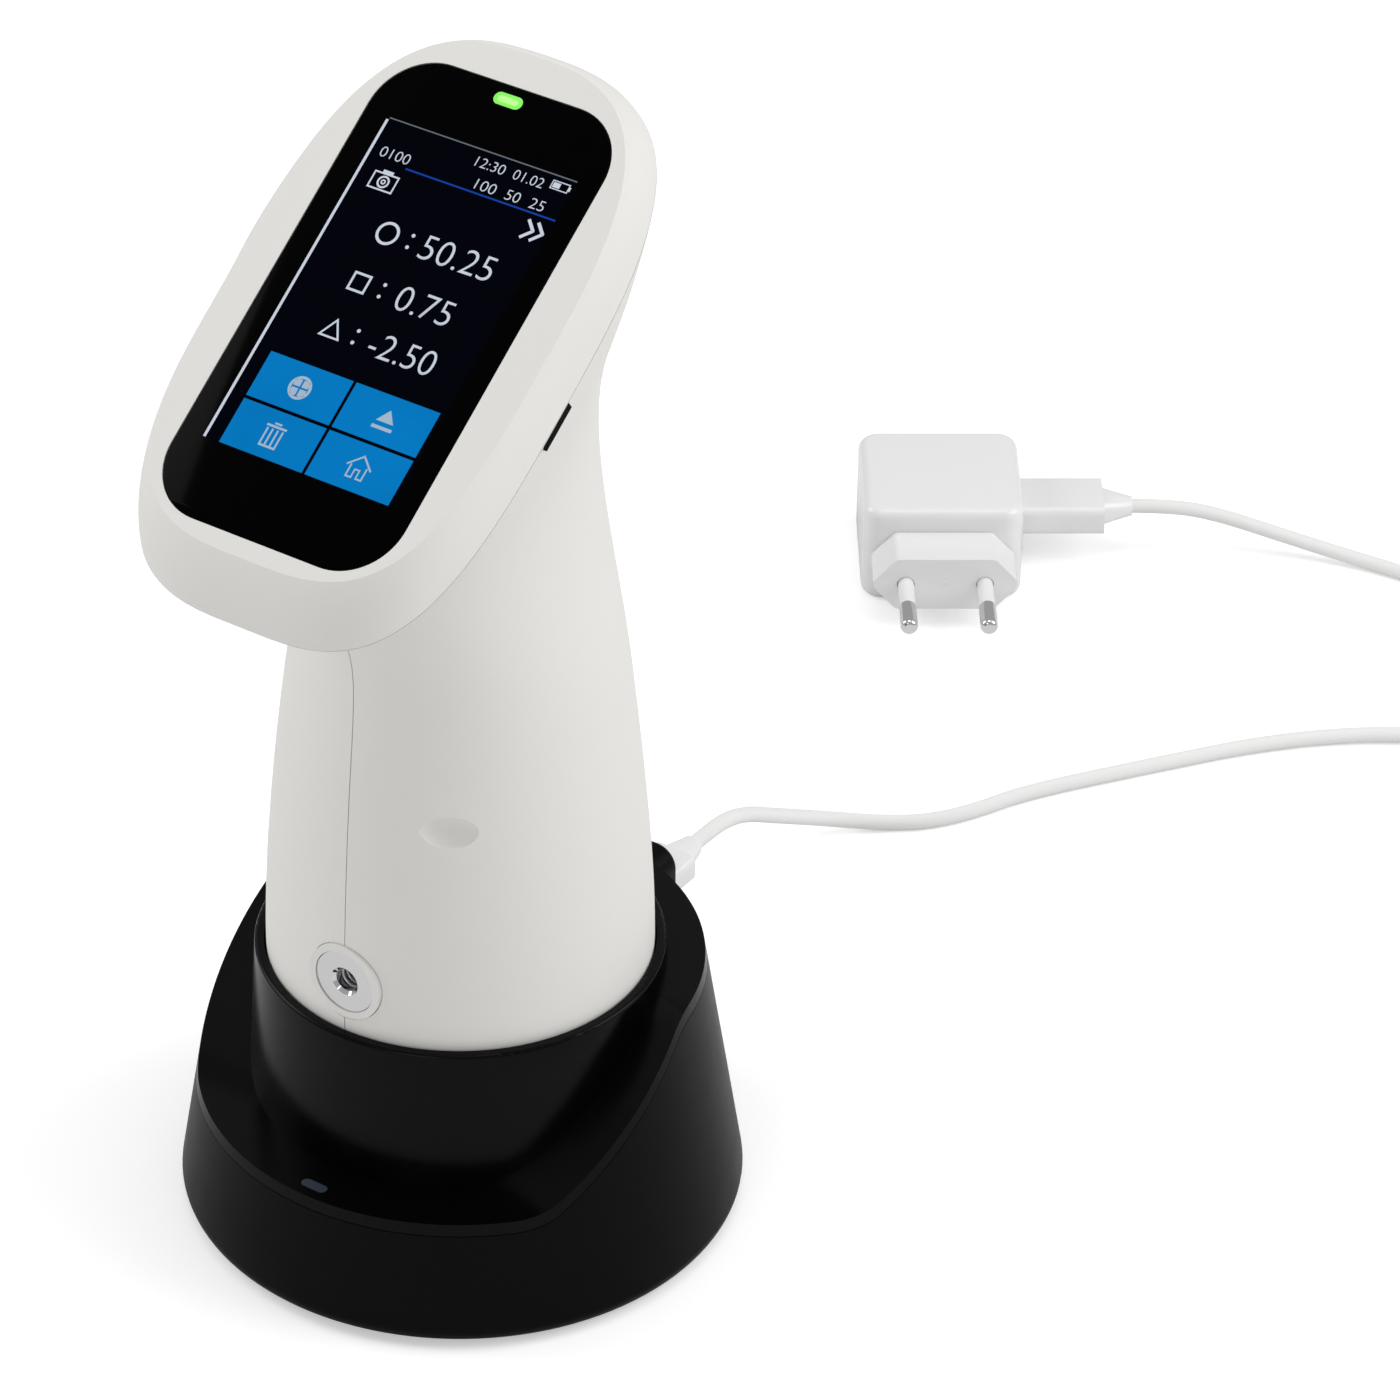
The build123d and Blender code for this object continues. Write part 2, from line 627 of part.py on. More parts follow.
def make_top_cover():
    """Ledge, collar, cup wall and cup floor in one moulding."""
    ledge = (cone_between(SKIRT_FOOT, LEDGE_HIGH) & ledge_body(0, 0)) - ledge_body(LEDGE_THICK, -5)
    collar_top_radius = COLLAR_FOOT_RADIUS - COLLAR_TAPER * COLLAR_TOP
    collar_low_radius = COLLAR_FOOT_RADIUS - COLLAR_TAPER * LEDGE_LOW
    low = LEDGE_LOW - LEDGE_THICK
    collar = Cone(collar_low_radius, collar_top_radius, COLLAR_TOP - low)
    collar = Pos(0, 0, (low + COLLAR_TOP) / 2) * collar
    collar = fillet(collar.edges().group_by(Axis.Z)[-1], 0.8)
    cup = upright(CUP_RADIUS, CUP_FLOOR, COLLAR_TOP + 1)
    hollow = upright(collar_low_radius - 2.4, low - 1, CUP_UNDER)
    cover_body = ledge + collar - cup - hollow
    cover_body = cover_body - upright(TILE_DIAMETER / 2 + SEAT_GAP, CUP_UNDER - 1, CUP_FLOOR + 1)
    for x in (-PIN_SPACING / 2, PIN_SPACING / 2):
        barrel_hole = upright(BARREL_DIAMETER / 2 + SLIP, CUP_UNDER - 1, CUP_FLOOR + 1, x, PIN_Y)
        cover_body = cover_body - barrel_hole
    light = SlotOverall(BASE_LIGHT_LENGTH + 2 * SLIP, BASE_LIGHT_WIDTH + 2 * SLIP)
    cover_body = cover_body - extrude(Plane.XY.offset(10) * Pos(0, BASE_LIGHT_Y) * light, 30)
    return cover_body


keep("base_top_cover", make_top_cover())
keep(
    "base_light",
    extrude(
        Plane.XY.offset(LEDGE_LOW - LEDGE_THICK)
        * Pos(0, BASE_LIGHT_Y)
        * SlotOverall(BASE_LIGHT_LENGTH, BASE_LIGHT_WIDTH),
        LEDGE_THICK - 0.1,
    ),
)

# Calibration tile in its holder under the cup floor
TILE_TOP = CUP_FLOOR - 0.3
tile = upright(TILE_DIAMETER / 2, TILE_TOP - TILE_THICK, TILE_TOP)
keep("calibration_tile", fillet(tile.edges().group_by(Axis.Z)[-1], 0.5))
holder = upright(
    TILE_DIAMETER / 2 + HOLDER_WALL + 1, TILE_TOP - TILE_THICK - HOLDER_WALL, CUP_UNDER - SEAT_GAP
)
holder = holder - upright(TILE_DIAMETER / 2 + SLIP, TILE_TOP - TILE_THICK - SLIP, CUP_UNDER + 1)
keep("tile_holder", holder)

# Sprung contact pins and the board that carries them
CONTACT_BOARD_TOP = CUP_UNDER - 3.0
CONTACT_BOARD_Y = (TILE_DIAMETER / 2 + HOLDER_WALL + 1.4, 39.0)
barrels = Part()
pins = Part()
PIN_TOP = INSTRUMENT_BOTTOM + 0.2 - 0.05
BARREL_TOP = CUP_FLOOR - 0.4
PIN_BOTTOM = BARREL_TOP - 3.6
PIN_ROOM_BOTTOM = PIN_BOTTOM - PIN_TRAVEL - 0.2
for x in (-PIN_SPACING / 2, PIN_SPACING / 2):
    barrel = upright(BARREL_DIAMETER / 2, CONTACT_BOARD_TOP, BARREL_TOP, x, PIN_Y)
    pin_room = upright(PIN_DIAMETER / 2 + 0.05, PIN_ROOM_BOTTOM, BARREL_TOP + 1, x, PIN_Y)
    barrels = barrels + (barrel - pin_room)
    pins = pins + upright(PIN_DIAMETER / 2, PIN_BOTTOM, PIN_TOP, x, PIN_Y)
keep("contact_barrels", barrels)
keep("contact_pins", pins)
keep(
    "contact_board",
    block(
        -14, 14, CONTACT_BOARD_Y[0], CONTACT_BOARD_Y[1], CONTACT_BOARD_TOP - BOARD_THICK, CONTACT_BOARD_TOP
    ),
)

# Bottom plate, rubber foot ring and screws
PLATE_BOTTOM = SKIRT_FOOT + 0.3
plate_radius = skirt_radius(PLATE_BOTTOM + PLATE_THICK) - SKIRT_WALL - SEAT_GAP
plate = upright(plate_radius, PLATE_BOTTOM, PLATE_BOTTOM + PLATE_THICK)


def ring_places(radius, turns):
    """Places on a circle at a list of turns."""
    return [(radius * cos(radians(turn)), radius * sin(radians(turn))) for turn in turns]


BASE_SCREW_PLACES = ring_places(BASE_SCREW_RING, (0, 90, 180, 270))
foot_groove = upright(FOOT_OUTER_RADIUS + SLIP, PLATE_BOTTOM - 1, PLATE_BOTTOM + FOOT_SEAT)
foot_groove = foot_groove - upright(FOOT_INNER_RADIUS - SLIP, PLATE_BOTTOM - 1, PLATE_BOTTOM + FOOT_SEAT)
plate = plate - foot_groove
for x, y in BASE_SCREW_PLACES:
    plate = plate - upright(SCREW_SHANK / 2 + SLIP, 0, PLATE_BOTTOM + 5, x, y)
    plate = plate - upright(SCREW_HEAD / 2 + SLIP, 0, PLATE_BOTTOM + 1.2, x, y)
keep("base_bottom_plate", plate)
foot = upright(FOOT_OUTER_RADIUS, 0, PLATE_BOTTOM + FOOT_SEAT)
foot = foot - upright(FOOT_INNER_RADIUS, -1, PLATE_BOTTOM + FOOT_SEAT + 1)
keep("base_foot_ring", fillet(foot.edges().group_by(Axis.Z)[0], 0.4))

# Sockets of the base
keep(
    "base_usb_socket",
    block(
        -SOCKET_WIDTH / 2 - 0.6, SOCKET_WIDTH / 2 + 0.6, BOSS_END_Y - 9.0, BOSS_END_Y - 2.7,
        SOCKET_Z - SOCKET_HEIGHT / 2 - 0.5, SOCKET_Z + SOCKET_HEIGHT / 2 + 0.5,
    )
    - block(
        -SOCKET_WIDTH / 2 + 0.1, SOCKET_WIDTH / 2 - 0.1, BOSS_END_Y - 8.4, BOSS_END_Y,
        SOCKET_Z - SOCKET_HEIGHT / 2 + 0.1, SOCKET_Z + SOCKET_HEIGHT / 2 - 0.1,
    ),
)
SOCKET_BOARD_TOP = SOCKET_Z - SOCKET_HEIGHT / 2 - 0.5 - 0.1
keep(
    "socket_board", block(-7.6, 7.6, 47.5, BOSS_END_Y - 2.8, SOCKET_BOARD_TOP - 1.2, SOCKET_BOARD_TOP)
)
base_screws = Part()
for x, y in BASE_SCREW_PLACES:
    base_screws = base_screws + upright(SCREW_HEAD / 2, PLATE_BOTTOM + 0.1, PLATE_BOTTOM + 1.1, x, y)
    base_screws = base_screws + upright(SCREW_SHANK / 2, PLATE_BOTTOM + 1.1, PLATE_BOTTOM + 10, x, y)
keep("base_screws", base_screws)

# Cord plug in the back of the base: metal tip, moulded grip and tapered relief


def rounded_bar(plane, width, height, corner, length):
    """Rounded rectangle pushed out of a plane."""
    return extrude(plane * RectangleRounded(width, height, corner), length)


plug_back = Plane(origin=(0, BOSS_END_Y + SEAT_GAP, SOCKET_Z), x_dir=(-1, 0, 0), z_dir=(0, 1, 0))
grip = rounded_bar(plug_back, PLUG_WIDTH, PLUG_HEIGHT, 2.2, PLUG_LENGTH)
relief = loft(
    [
        plug_back.offset(PLUG_LENGTH) * RectangleRounded(PLUG_WIDTH - 3, PLUG_HEIGHT - 1, 2.2),
        plug_back.offset(PLUG_LENGTH + RELIEF_LENGTH) * Circle(CORD / 2 + 0.6),
    ]
)
keep("base_plug_grip", grip + relief)
keep("base_plug_tip", rounded_bar(plug_back, SOCKET_WIDTH - 0.6, SOCKET_HEIGHT - 0.6, 0.6, -6.0))

# The cord: hand-laid routes, straight runs joined by tangent arcs


def cord_arcs(points):
    """Radius of the arc at each inner point, as large as its two runs allow."""
    radii = []
    for before, here, after in zip(points, points[1:], points[2:]):
        run_in = Vector(*here) - Vector(*before)
        run_out = Vector(*after) - Vector(*here)
        turn = radians(run_in.get_angle(run_out))
        radii.append(0.45 * min(run_in.length, run_out.length) / tan(turn / 2))
    return radii


def cord_tube(name, points):
    """Round tube along a route, with its radii, length and volume printed."""
    radii = cord_arcs(points)
    path = FilletPolyline(*points, radius=radii)
    start = Plane(origin=path @ 0, z_dir=path % 0)
    tube = sweep(start * Circle(CORD / 2), path=path)
    section = pi * CORD**2 / 4
    print(name, "length", round(path.length, 1), "least radius", round(min(radii), 1))
    print("  radii", [round(r) for r in radii])
    print("  volume over section times length", round(tube.volume / (section * path.length), 4))
    return tube


FLOOR_CORD = CORD / 2
PLUG_EXIT_Y = BOSS_END_Y + SEAT_GAP + PLUG_LENGTH + RELIEF_LENGTH
COIL_X = 122.0
COIL_Y = 284.0
COIL_LOW = CORD / 2 + COIL_LIFT
LAYER_STEP = CORD + 0.7
COIL_HIGH = COIL_LOW + LAYER_STEP
BASE_ROUTE = [
    (0, PLUG_EXIT_Y, SOCKET_Z),
    (0, PLUG_EXIT_Y + 9, SOCKET_Z),
    (-1.2, PLUG_EXIT_Y + 18, SOCKET_Z - 3.2),
    (-3.2, PLUG_EXIT_Y + 28, 25.0),
    (-5.4, 124.0, 17.6),
    (-6.2, 134.0, 11.2),
    (-4.8, 143.0, 6.2),
    (-0.8, 150.2, 3.0),
    (5.5, 155.6, FLOOR_CORD + 0.05),
    (13.0, 161.4, FLOOR_CORD),
    (19.2, 170.3, FLOOR_CORD + 0.05),
    (25.0, 184.0, FLOOR_CORD),
    (41, 207, FLOOR_CORD),
    (62, 236, FLOOR_CORD + 0.1),
    (86, 256, FLOOR_CORD + 0.3),
    (COIL_X - 16, COIL_Y - COIL_OUTER, COIL_LOW),
    (COIL_X - CORD, COIL_Y - COIL_OUTER, COIL_LOW),
]
ADAPTER_ROUTE_MIDDLE = [
    (COIL_X - CORD, COIL_Y + COIL_OUTER, COIL_HIGH),
    (COIL_X - 16, COIL_Y + COIL_OUTER, COIL_HIGH),
    (88, 310, 4.6),
    (71, 313, FLOOR_CORD + 0.4),
    (53, 314.5, FLOOR_CORD),
    (37, 312.5, FLOOR_CORD + 0.5),
    (23, 307.5, 5.2),
]


def half_turn(start, leaving, end, arriving):
    """Two arcs that join two places with opposite headings."""
    reach = (Vector(*end) - Vector(*start)).length / 2
    first = Vector(*start) + Vector(*leaving) * reach
    second = Vector(*end) - Vector(*arriving) * reach
    middle = (first + second) / 2
    return [
        TangentArc([start, middle], tangent=leaving),
        TangentArc([middle, end], tangent=second - first),
    ]


def coil_places():
    """Places and headings at every half turn: in on the low layer, out on the high one."""
    inward = [COIL_OUTER - step * COIL_PITCH / 2 for step in range(COIL_TURNS + 1)]
    radii = inward + [inward[-1] - COIL_REVERSE] + inward[-2::-1]
    places = []
    for step, radius in enumerate(radii):
        turn = -pi / 2 + pi * step
        height = COIL_LOW if step <= COIL_TURNS else COIL_HIGH
        places.append(
            (
                (COIL_X + radius * cos(turn), COIL_Y + radius * sin(turn), height),
                (-sin(turn), cos(turn), 0),
            )
        )
    return places


def make_coil():
    """The put-away cord, wound as one unbroken tube."""
    places = coil_places()
    lead_in = Vector(*places[0][0]) - Vector(*places[0][1]) * CORD
    lead_out = Vector(*places[-1][0]) + Vector(*places[-1][1]) * CORD
    pieces = [Line(lead_in, places[0][0])]
    for (start, leaving), (end, arriving) in zip(places, places[1:]):
        pieces += half_turn(start, leaving, end, arriving)
    pieces.append(Line(places[-1][0], lead_out))
    path = Wire(pieces)
    samples = []
    for edge in path.edges():
        samples += [(edge @ (k / 12)) for k in range(12)]
    apart = 3 * CORD
    gaps = []
    lengths = [0.0]
    for one, two in zip(samples, samples[1:]):
        lengths.append(lengths[-1] + (two - one).length)
    for i, one in enumerate(samples):
        for j in range(i + 1, len(samples)):
            if lengths[j] - lengths[i] > apart:
                gaps.append((samples[j] - one).length - CORD)
    print("coil length", round(path.length, 1), "least gap to itself", round(min(gaps), 2))
    return sweep(Plane(origin=lead_in, z_dir=places[0][1]) * Circle(CORD / 2), path=path)


keep("cord_coil", make_coil())
keep("cord_from_base", cord_tube("cord_from_base", BASE_ROUTE))

COIL_INNER = COIL_OUTER - COIL_TURNS * COIL_PITCH / 2 - COIL_REVERSE
tie_room = block(
    COIL_X + COIL_INNER - CORD / 2 - SEAT_GAP, COIL_X + COIL_OUTER + CORD / 2 + SEAT_GAP,
    COIL_Y - TIE_WIDTH, COIL_Y + TIE_WIDTH,
    COIL_LOW - CORD / 2 - 0.2, COIL_HIGH + CORD / 2 + 0.2,
)
tie_body = block(
    COIL_X + COIL_INNER - CORD / 2 - SEAT_GAP - TIE_THICK,
    COIL_X + COIL_OUTER + CORD / 2 + SEAT_GAP + TIE_THICK,
    COIL_Y - TIE_WIDTH / 2, COIL_Y + TIE_WIDTH / 2,
    COIL_LOW - CORD / 2 - 0.2 - TIE_THICK, COIL_HIGH + CORD / 2 + 0.2 + TIE_THICK,
)
keep("coil_tie", fillet(tie_body.edges().filter_by(Axis.Y), 1.4) - tie_room)

# Wall adapter on the floor behind the base; its pins point back towards the viewer
ADAPTER_TURN = 35.0
ADAPTER = Plane(
    origin=(-45.0, 258.0, 0),
    x_dir=(cos(radians(ADAPTER_TURN)), sin(radians(ADAPTER_TURN)), 0),
    z_dir=(0, 0, 1),
)
ADAPTER_MIDDLE = ADAPTER_HEIGHT / 2
USB_Y = 4.0


def in_adapter(x, y, z):
    """World place of a point given in the adapter's own frame."""
    point = ADAPTER.from_local_coords(Vector(x, y, z))
    return (point.X, point.Y, point.Z)


body = Pos(0, 0, ADAPTER_MIDDLE) * Box(ADAPTER_WIDTH, ADAPTER_LENGTH, ADAPTER_HEIGHT)
body = fillet(body.edges().filter_by(Axis.Z), 5.0)
body = fillet(body.edges().group_by(Axis.Z)[0] + body.edges().group_by(Axis.Z)[-1], 2.5)
port = Pos(ADAPTER_WIDTH / 2 - 6, USB_Y, ADAPTER_MIDDLE) * Box(12.4, 12.6, 5.2)
keep("adapter_body", ADAPTER * (body - port))

front_face = -ADAPTER_LENGTH / 2
block_plane = Plane(
    origin=(0, front_face - 0.1, ADAPTER_MIDDLE), x_dir=(1, 0, 0), z_dir=(0, -1, 0)
)
flat_half = HEAD_BLOCK_WIDTH / 2 - HEAD_BLOCK_HEIGHT / 2 + 0.8
outline = Polyline(
    (-HEAD_BLOCK_WIDTH / 2, 0),
    (-flat_half, HEAD_BLOCK_HEIGHT / 2),
    (flat_half, HEAD_BLOCK_HEIGHT / 2),
    (HEAD_BLOCK_WIDTH / 2, 0),
    (flat_half, -HEAD_BLOCK_HEIGHT / 2),
    (-flat_half, -HEAD_BLOCK_HEIGHT / 2),
    close=True,
)
mains_head = extrude(block_plane * make_face(outline), HEAD_BLOCK_LENGTH)
mains_head = fillet(mains_head.edges().filter_by(Axis.Y), 2.0)
PIN_BACK = 3.0
pin_root = block_plane.offset(HEAD_BLOCK_LENGTH - PIN_BACK)
for x in (-MAINS_PIN_PITCH / 2, MAINS_PIN_PITCH / 2):
    mains_head = mains_head - extrude(pin_root * Pos(x, 0) * Circle(MAINS_PIN / 2 + 0.05), PIN_BACK + 1)
keep("mains_plug_head", ADAPTER * mains_head)
CORE = MAINS_PIN / 2 - 0.55
pins_metal = Part()
sleeves = Part()
for x in (-MAINS_PIN_PITCH / 2, MAINS_PIN_PITCH / 2):
    pin_place = pin_root.offset(0.1) * Pos(x, 0)
    whole = extrude(pin_place * Circle(MAINS_PIN / 2), PIN_BACK - 0.1 + MAINS_PIN_LENGTH)
    tip_edges = whole.faces().sort_by(Axis.Y)[0].edges()
    whole = fillet(tip_edges, 1.2)
    collar_bar = extrude(pin_root * Pos(x, 0) * Circle(MAINS_PIN), PIN_BACK + SLEEVE_LENGTH)
    core_bar = extrude(pin_root * Pos(x, 0) * Circle(CORE), PIN_BACK + SLEEVE_LENGTH)
    pins_metal = pins_metal + (whole - (collar_bar - core_bar))
    sleeve = extrude(pin_place * Circle(SLEEVE_RADIUS), PIN_BACK - 0.1 + SLEEVE_LENGTH)
    sleeves = sleeves + (sleeve - extrude(pin_root * Pos(x, 0) * Circle(CORE + 0.05), 60))
keep("mains_pins", ADAPTER * pins_metal)
keep("pin_sleeves", ADAPTER * sleeves)

usb_plane = Plane(
    origin=(ADAPTER_WIDTH / 2 + SEAT_GAP, USB_Y, ADAPTER_MIDDLE), x_dir=(0, 1, 0), z_dir=(1, 0, 0)
)
usb_grip = rounded_bar(usb_plane, USB_A_WIDTH, USB_A_HEIGHT, 2.0, USB_A_LENGTH)
usb_relief = loft(
    [
        usb_plane.offset(USB_A_LENGTH) * RectangleRounded(USB_A_WIDTH - 6, USB_A_HEIGHT - 1.4, 2.0),
        usb_plane.offset(USB_A_LENGTH + RELIEF_LENGTH) * Circle(CORD / 2 + 0.6),
    ]
)
keep("usb_a_grip", ADAPTER * (usb_grip + usb_relief))
keep("usb_a_shell", ADAPTER * rounded_bar(usb_plane, 12.0, 4.5, 0.4, -11.5))

USB_EXIT = ADAPTER_WIDTH / 2 + SEAT_GAP + USB_A_LENGTH + RELIEF_LENGTH
adapter_route = ADAPTER_ROUTE_MIDDLE + [
    in_adapter(USB_EXIT + 20, USB_Y + 1.0, ADAPTER_MIDDLE - 2.6),
    in_adapter(USB_EXIT + 9, USB_Y, ADAPTER_MIDDLE),
    in_adapter(USB_EXIT, USB_Y, ADAPTER_MIDDLE),
]
keep("cord_to_adapter", cord_tube("cord_to_adapter", adapter_route))

os.makedirs("parts", exist_ok=True)
for name, shape in NODES.items():
    export_step(shape, f"parts/{name}.step")
print("nodes", len(NODES))
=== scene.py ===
"""Studio scene of a color spectrophotometer that stands in its charging base.

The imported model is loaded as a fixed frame. Each sub-assembly is a class that dresses the
nodes it covers and adds the pieces that show: screen picture, lights, thread, cord, plugs.
Sizes are in millimetres unless their note says otherwise; MM turns them into metres.
"""

import logging
import math
from collections.abc import Iterable
from dataclasses import dataclass, field
from enum import Enum

import bmesh
import bpy
from mathutils import Matrix, Vector


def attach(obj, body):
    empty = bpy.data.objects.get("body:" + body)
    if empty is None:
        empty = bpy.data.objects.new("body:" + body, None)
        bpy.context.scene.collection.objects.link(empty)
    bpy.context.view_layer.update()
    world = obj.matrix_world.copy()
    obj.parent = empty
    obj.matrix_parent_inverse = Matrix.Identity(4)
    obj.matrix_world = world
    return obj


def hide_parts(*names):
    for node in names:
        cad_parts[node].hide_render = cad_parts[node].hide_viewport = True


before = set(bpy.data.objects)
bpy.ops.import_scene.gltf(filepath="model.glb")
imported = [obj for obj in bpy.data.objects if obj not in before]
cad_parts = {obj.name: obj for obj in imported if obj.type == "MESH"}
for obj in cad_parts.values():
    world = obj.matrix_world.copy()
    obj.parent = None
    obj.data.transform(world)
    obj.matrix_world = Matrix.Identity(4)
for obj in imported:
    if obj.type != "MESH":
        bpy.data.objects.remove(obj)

LOG = logging.getLogger("spectrophotometer")
MM = 0.001
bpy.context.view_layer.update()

Point = tuple[float, float, float]
Colour = tuple[float, float, float]
Edges = tuple[float, float, float, float]


class Grain(Enum):
    """How a surface feels close up."""

    MOULDED = "moulded"
    SATIN = "satin"
    POLISHED = "polished"
    BRUSHED = "brushed"
    WOVEN = "woven"


# Scale of the fine noise per metre, and strength of its bump.
GRAIN_SIZES = {
    Grain.MOULDED: (2600.0, 0.10),
    Grain.SATIN: (1500.0, 0.06),
    Grain.POLISHED: (300.0, 0.015),
    Grain.BRUSHED: (1800.0, 0.12),
    Grain.WOVEN: (900.0, 0.45),
}
BRUSHED_STRETCH = (1.0, 1.0, 0.06)
BUMP_DEPTH = 0.1 * MM
TINT_NOISE = 38.0
TINT_STOPS = (0.35, 0.65)
WEAR_NOISE = 130.0
WEAR_SPREAD = 0.12
COAT_ROUGHNESS = 0.08


@dataclass(frozen=True)
class Finish:
    """A surface finish, made once as a node material.

    Args:
        name: Plain name of the finish.
        colour: Linear base colour.
        roughness: Middle roughness.
        grain: Kind of fine surface.
        metallic: 1 for bare metal.
        specular: Strength of the plain reflection.
        coat: Strength of a clear coat.
        mottle: Share by which the colour wanders.
        glow: Strength of its own light.
    """

    name: str
    colour: Colour
    roughness: float = 0.45
    grain: Grain = Grain.MOULDED
    metallic: float = 0.0
    specular: float = 0.5
    coat: float = 0.0
    mottle: float = 0.02
    glow: float = 0.0

    def material(self) -> bpy.types.Material:
        """Find or build the material of this finish.

        Returns:
            The node material.
        """
        made = bpy.data.materials.get(self.name)
        if made:
            return made
        made = bpy.data.materials.new(self.name)
        made.use_nodes = True
        nodes, links = made.node_tree.nodes, made.node_tree.links
        shader = nodes["Principled BSDF"]
        shader.inputs["Metallic"].default_value = self.metallic
        shader.inputs["Specular IOR Level"].default_value = self.specular
        shader.inputs["Coat Weight"].default_value = self.coat
        shader.inputs["Coat Roughness"].default_value = COAT_ROUGHNESS
        place = nodes.new("ShaderNodeTexCoord")
        stretch = nodes.new("ShaderNodeMapping")
        if self.grain is Grain.BRUSHED:
            stretch.inputs["Scale"].default_value = BRUSHED_STRETCH
        links.new(place.outputs["Object"], stretch.inputs["Vector"])
        scale, strength = GRAIN_SIZES[self.grain]
        fine = self._noise(nodes, links, stretch, scale, 3.0)
        bump = nodes.new("ShaderNodeBump")
        bump.inputs["Strength"].default_value = strength
        bump.inputs["Distance"].default_value = BUMP_DEPTH
        links.new(fine.outputs["Fac"], bump.inputs["Height"])
        links.new(bump.outputs["Normal"], shader.inputs["Normal"])
        broad = self._noise(nodes, links, stretch, TINT_NOISE, 4.0)
        tint = nodes.new("ShaderNodeValToRGB")
        low = [channel * (1 - self.mottle) for channel in self.colour]
        high = [min(channel * (1 + self.mottle), 1.0) for channel in self.colour]
        for stop, position, colour in zip(tint.color_ramp.elements, TINT_STOPS, (low, high)):
            stop.position = position
            stop.color = (*colour, 1.0)
        links.new(broad.outputs["Fac"], tint.inputs["Fac"])
        links.new(tint.outputs["Color"], shader.inputs["Base Color"])
        wear = self._noise(nodes, links, stretch, WEAR_NOISE, 2.0)
        spread = nodes.new("ShaderNodeMapRange")
        spread.inputs["To Min"].default_value = self.roughness * (1 - WEAR_SPREAD)
        spread.inputs["To Max"].default_value = min(self.roughness * (1 + WEAR_SPREAD), 1.0)
        links.new(wear.outputs["Fac"], spread.inputs["Value"])
        links.new(spread.outputs["Result"], shader.inputs["Roughness"])
        if self.glow:
            links.new(tint.outputs["Color"], shader.inputs["Emission Color"])
            shader.inputs["Emission Strength"].default_value = self.glow
        return made

    @staticmethod
    def _noise(
        nodes: bpy.types.Nodes,
        links: bpy.types.NodeLinks,
        stretch: bpy.types.Node,
        scale: float,
        detail: float,
    ) -> bpy.types.Node:
        """A noise texture on the stretched place.

        Args:
            nodes: Node list of the material.
            links: Link list of the material.
            stretch: Mapping node that feeds it.
            scale: Noise scale per metre.
            detail: Noise detail.

        Returns:
            The noise node.
        """
        noise = nodes.new("ShaderNodeTexNoise")
        noise.inputs["Scale"].default_value = scale
        noise.inputs["Detail"].default_value = detail
        links.new(stretch.outputs["Vector"], noise.inputs["Vector"])
        return noise


def lit(name: str, colour: Colour, glow: float, mottle: float = 0.02) -> Finish:
    """A finish of the lit picture behind the glass.

    Args:
        name: Plain name of the finish.
        colour: Linear base colour.
        glow: Strength of its own light.
        mottle: Share by which the colour wanders.

    Returns:
        The finish.
    """
    return Finish(name, colour, 0.12, Grain.POLISHED, specular=0.025, mottle=mottle, glow=glow)


def lamp_green(name: str, colour: Colour, glow: float) -> Finish:
    """A finish of the ready light.

    Args:
        name: Plain name of the finish.
        colour: Linear base colour.
        glow: Strength of its own light.

    Returns:
        The finish.
    """
    return Finish(name, colour, 0.2, Grain.POLISHED, specular=0.1, mottle=0.1, glow=glow)


WHITE_HOUSING = Finish("white_housing", (0.80, 0.768, 0.722), 0.42)
BLACK_SKIRT = Finish("black_skirt", (0.0015, 0.0015, 0.0017), 0.34, Grain.SATIN, specular=0.07)
BLACK_LEDGE = Finish("black_ledge", (0.0012, 0.0012, 0.0014), 0.22, Grain.POLISHED, specular=0.10)
BLACK_GLASS = Finish("black_glass", (0.0004, 0.0004, 0.0005), 0.06, Grain.POLISHED, specular=0.025)
LIT_NAVY = lit("lit_navy", (0.0003, 0.0004, 0.0022), 0.4)
LIT_BLUE = lit("lit_blue", (0.0006, 0.098, 0.275), 0.95, mottle=0.06)
LIT_WHITE = lit("lit_white", (0.33, 0.36, 0.41), 0.85)
LIT_PALE = lit("lit_pale", (0.21, 0.275, 0.34), 0.8)
LIT_LINE = lit("lit_line", (0.004, 0.03, 0.20), 0.8)
LIT_GREY = lit("lit_grey", (0.09, 0.10, 0.12), 0.6)
GREEN_LAMP = lamp_green("green_lamp", (0.17, 0.62, 0.09), 0.5)
GREEN_CORE = lamp_green("green_core", (0.30, 0.64, 0.18), 0.7)
GREY_LAMP = Finish("grey_lamp", (0.035, 0.045, 0.065), 0.15, Grain.POLISHED)
BRIGHT_STEEL = Finish("bright_steel", (0.94, 0.92, 0.89), 0.2, Grain.POLISHED, metallic=1.0)
PLAIN_STEEL = Finish("plain_steel", (0.55, 0.55, 0.57), 0.32, Grain.BRUSHED, metallic=1.0)
GOLD = Finish("gold_contact", (0.80, 0.60, 0.24), 0.22, Grain.BRUSHED, metallic=1.0)
ALLOY = Finish("module_alloy", (0.34, 0.35, 0.37), 0.4, Grain.BRUSHED, metallic=1.0)
BOARD = Finish("circuit_board", (0.02, 0.14, 0.06), 0.35, Grain.SATIN, mottle=0.25)
SPHERE_WHITE = Finish("sphere_white", (0.88, 0.88, 0.87), 0.85)
BATTERY_WRAP = Finish("battery_wrap", (0.04, 0.10, 0.30), 0.3, Grain.POLISHED, mottle=0.1)
# Painted shade: stands in for the shade in the mouth of the service port's slit.
SLIT_SHADE_PAINT = Finish("slit_shade_paint", (0.001, 0.001, 0.001), 0.6, Grain.SATIN, specular=0.05)
SWITCH_BLACK = Finish("switch_black", (0.02, 0.02, 0.022), 0.5, Grain.SATIN)
TILE_GLAZE = Finish("tile_glaze", (0.88, 0.88, 0.86), 0.1, Grain.POLISHED, coat=0.6)
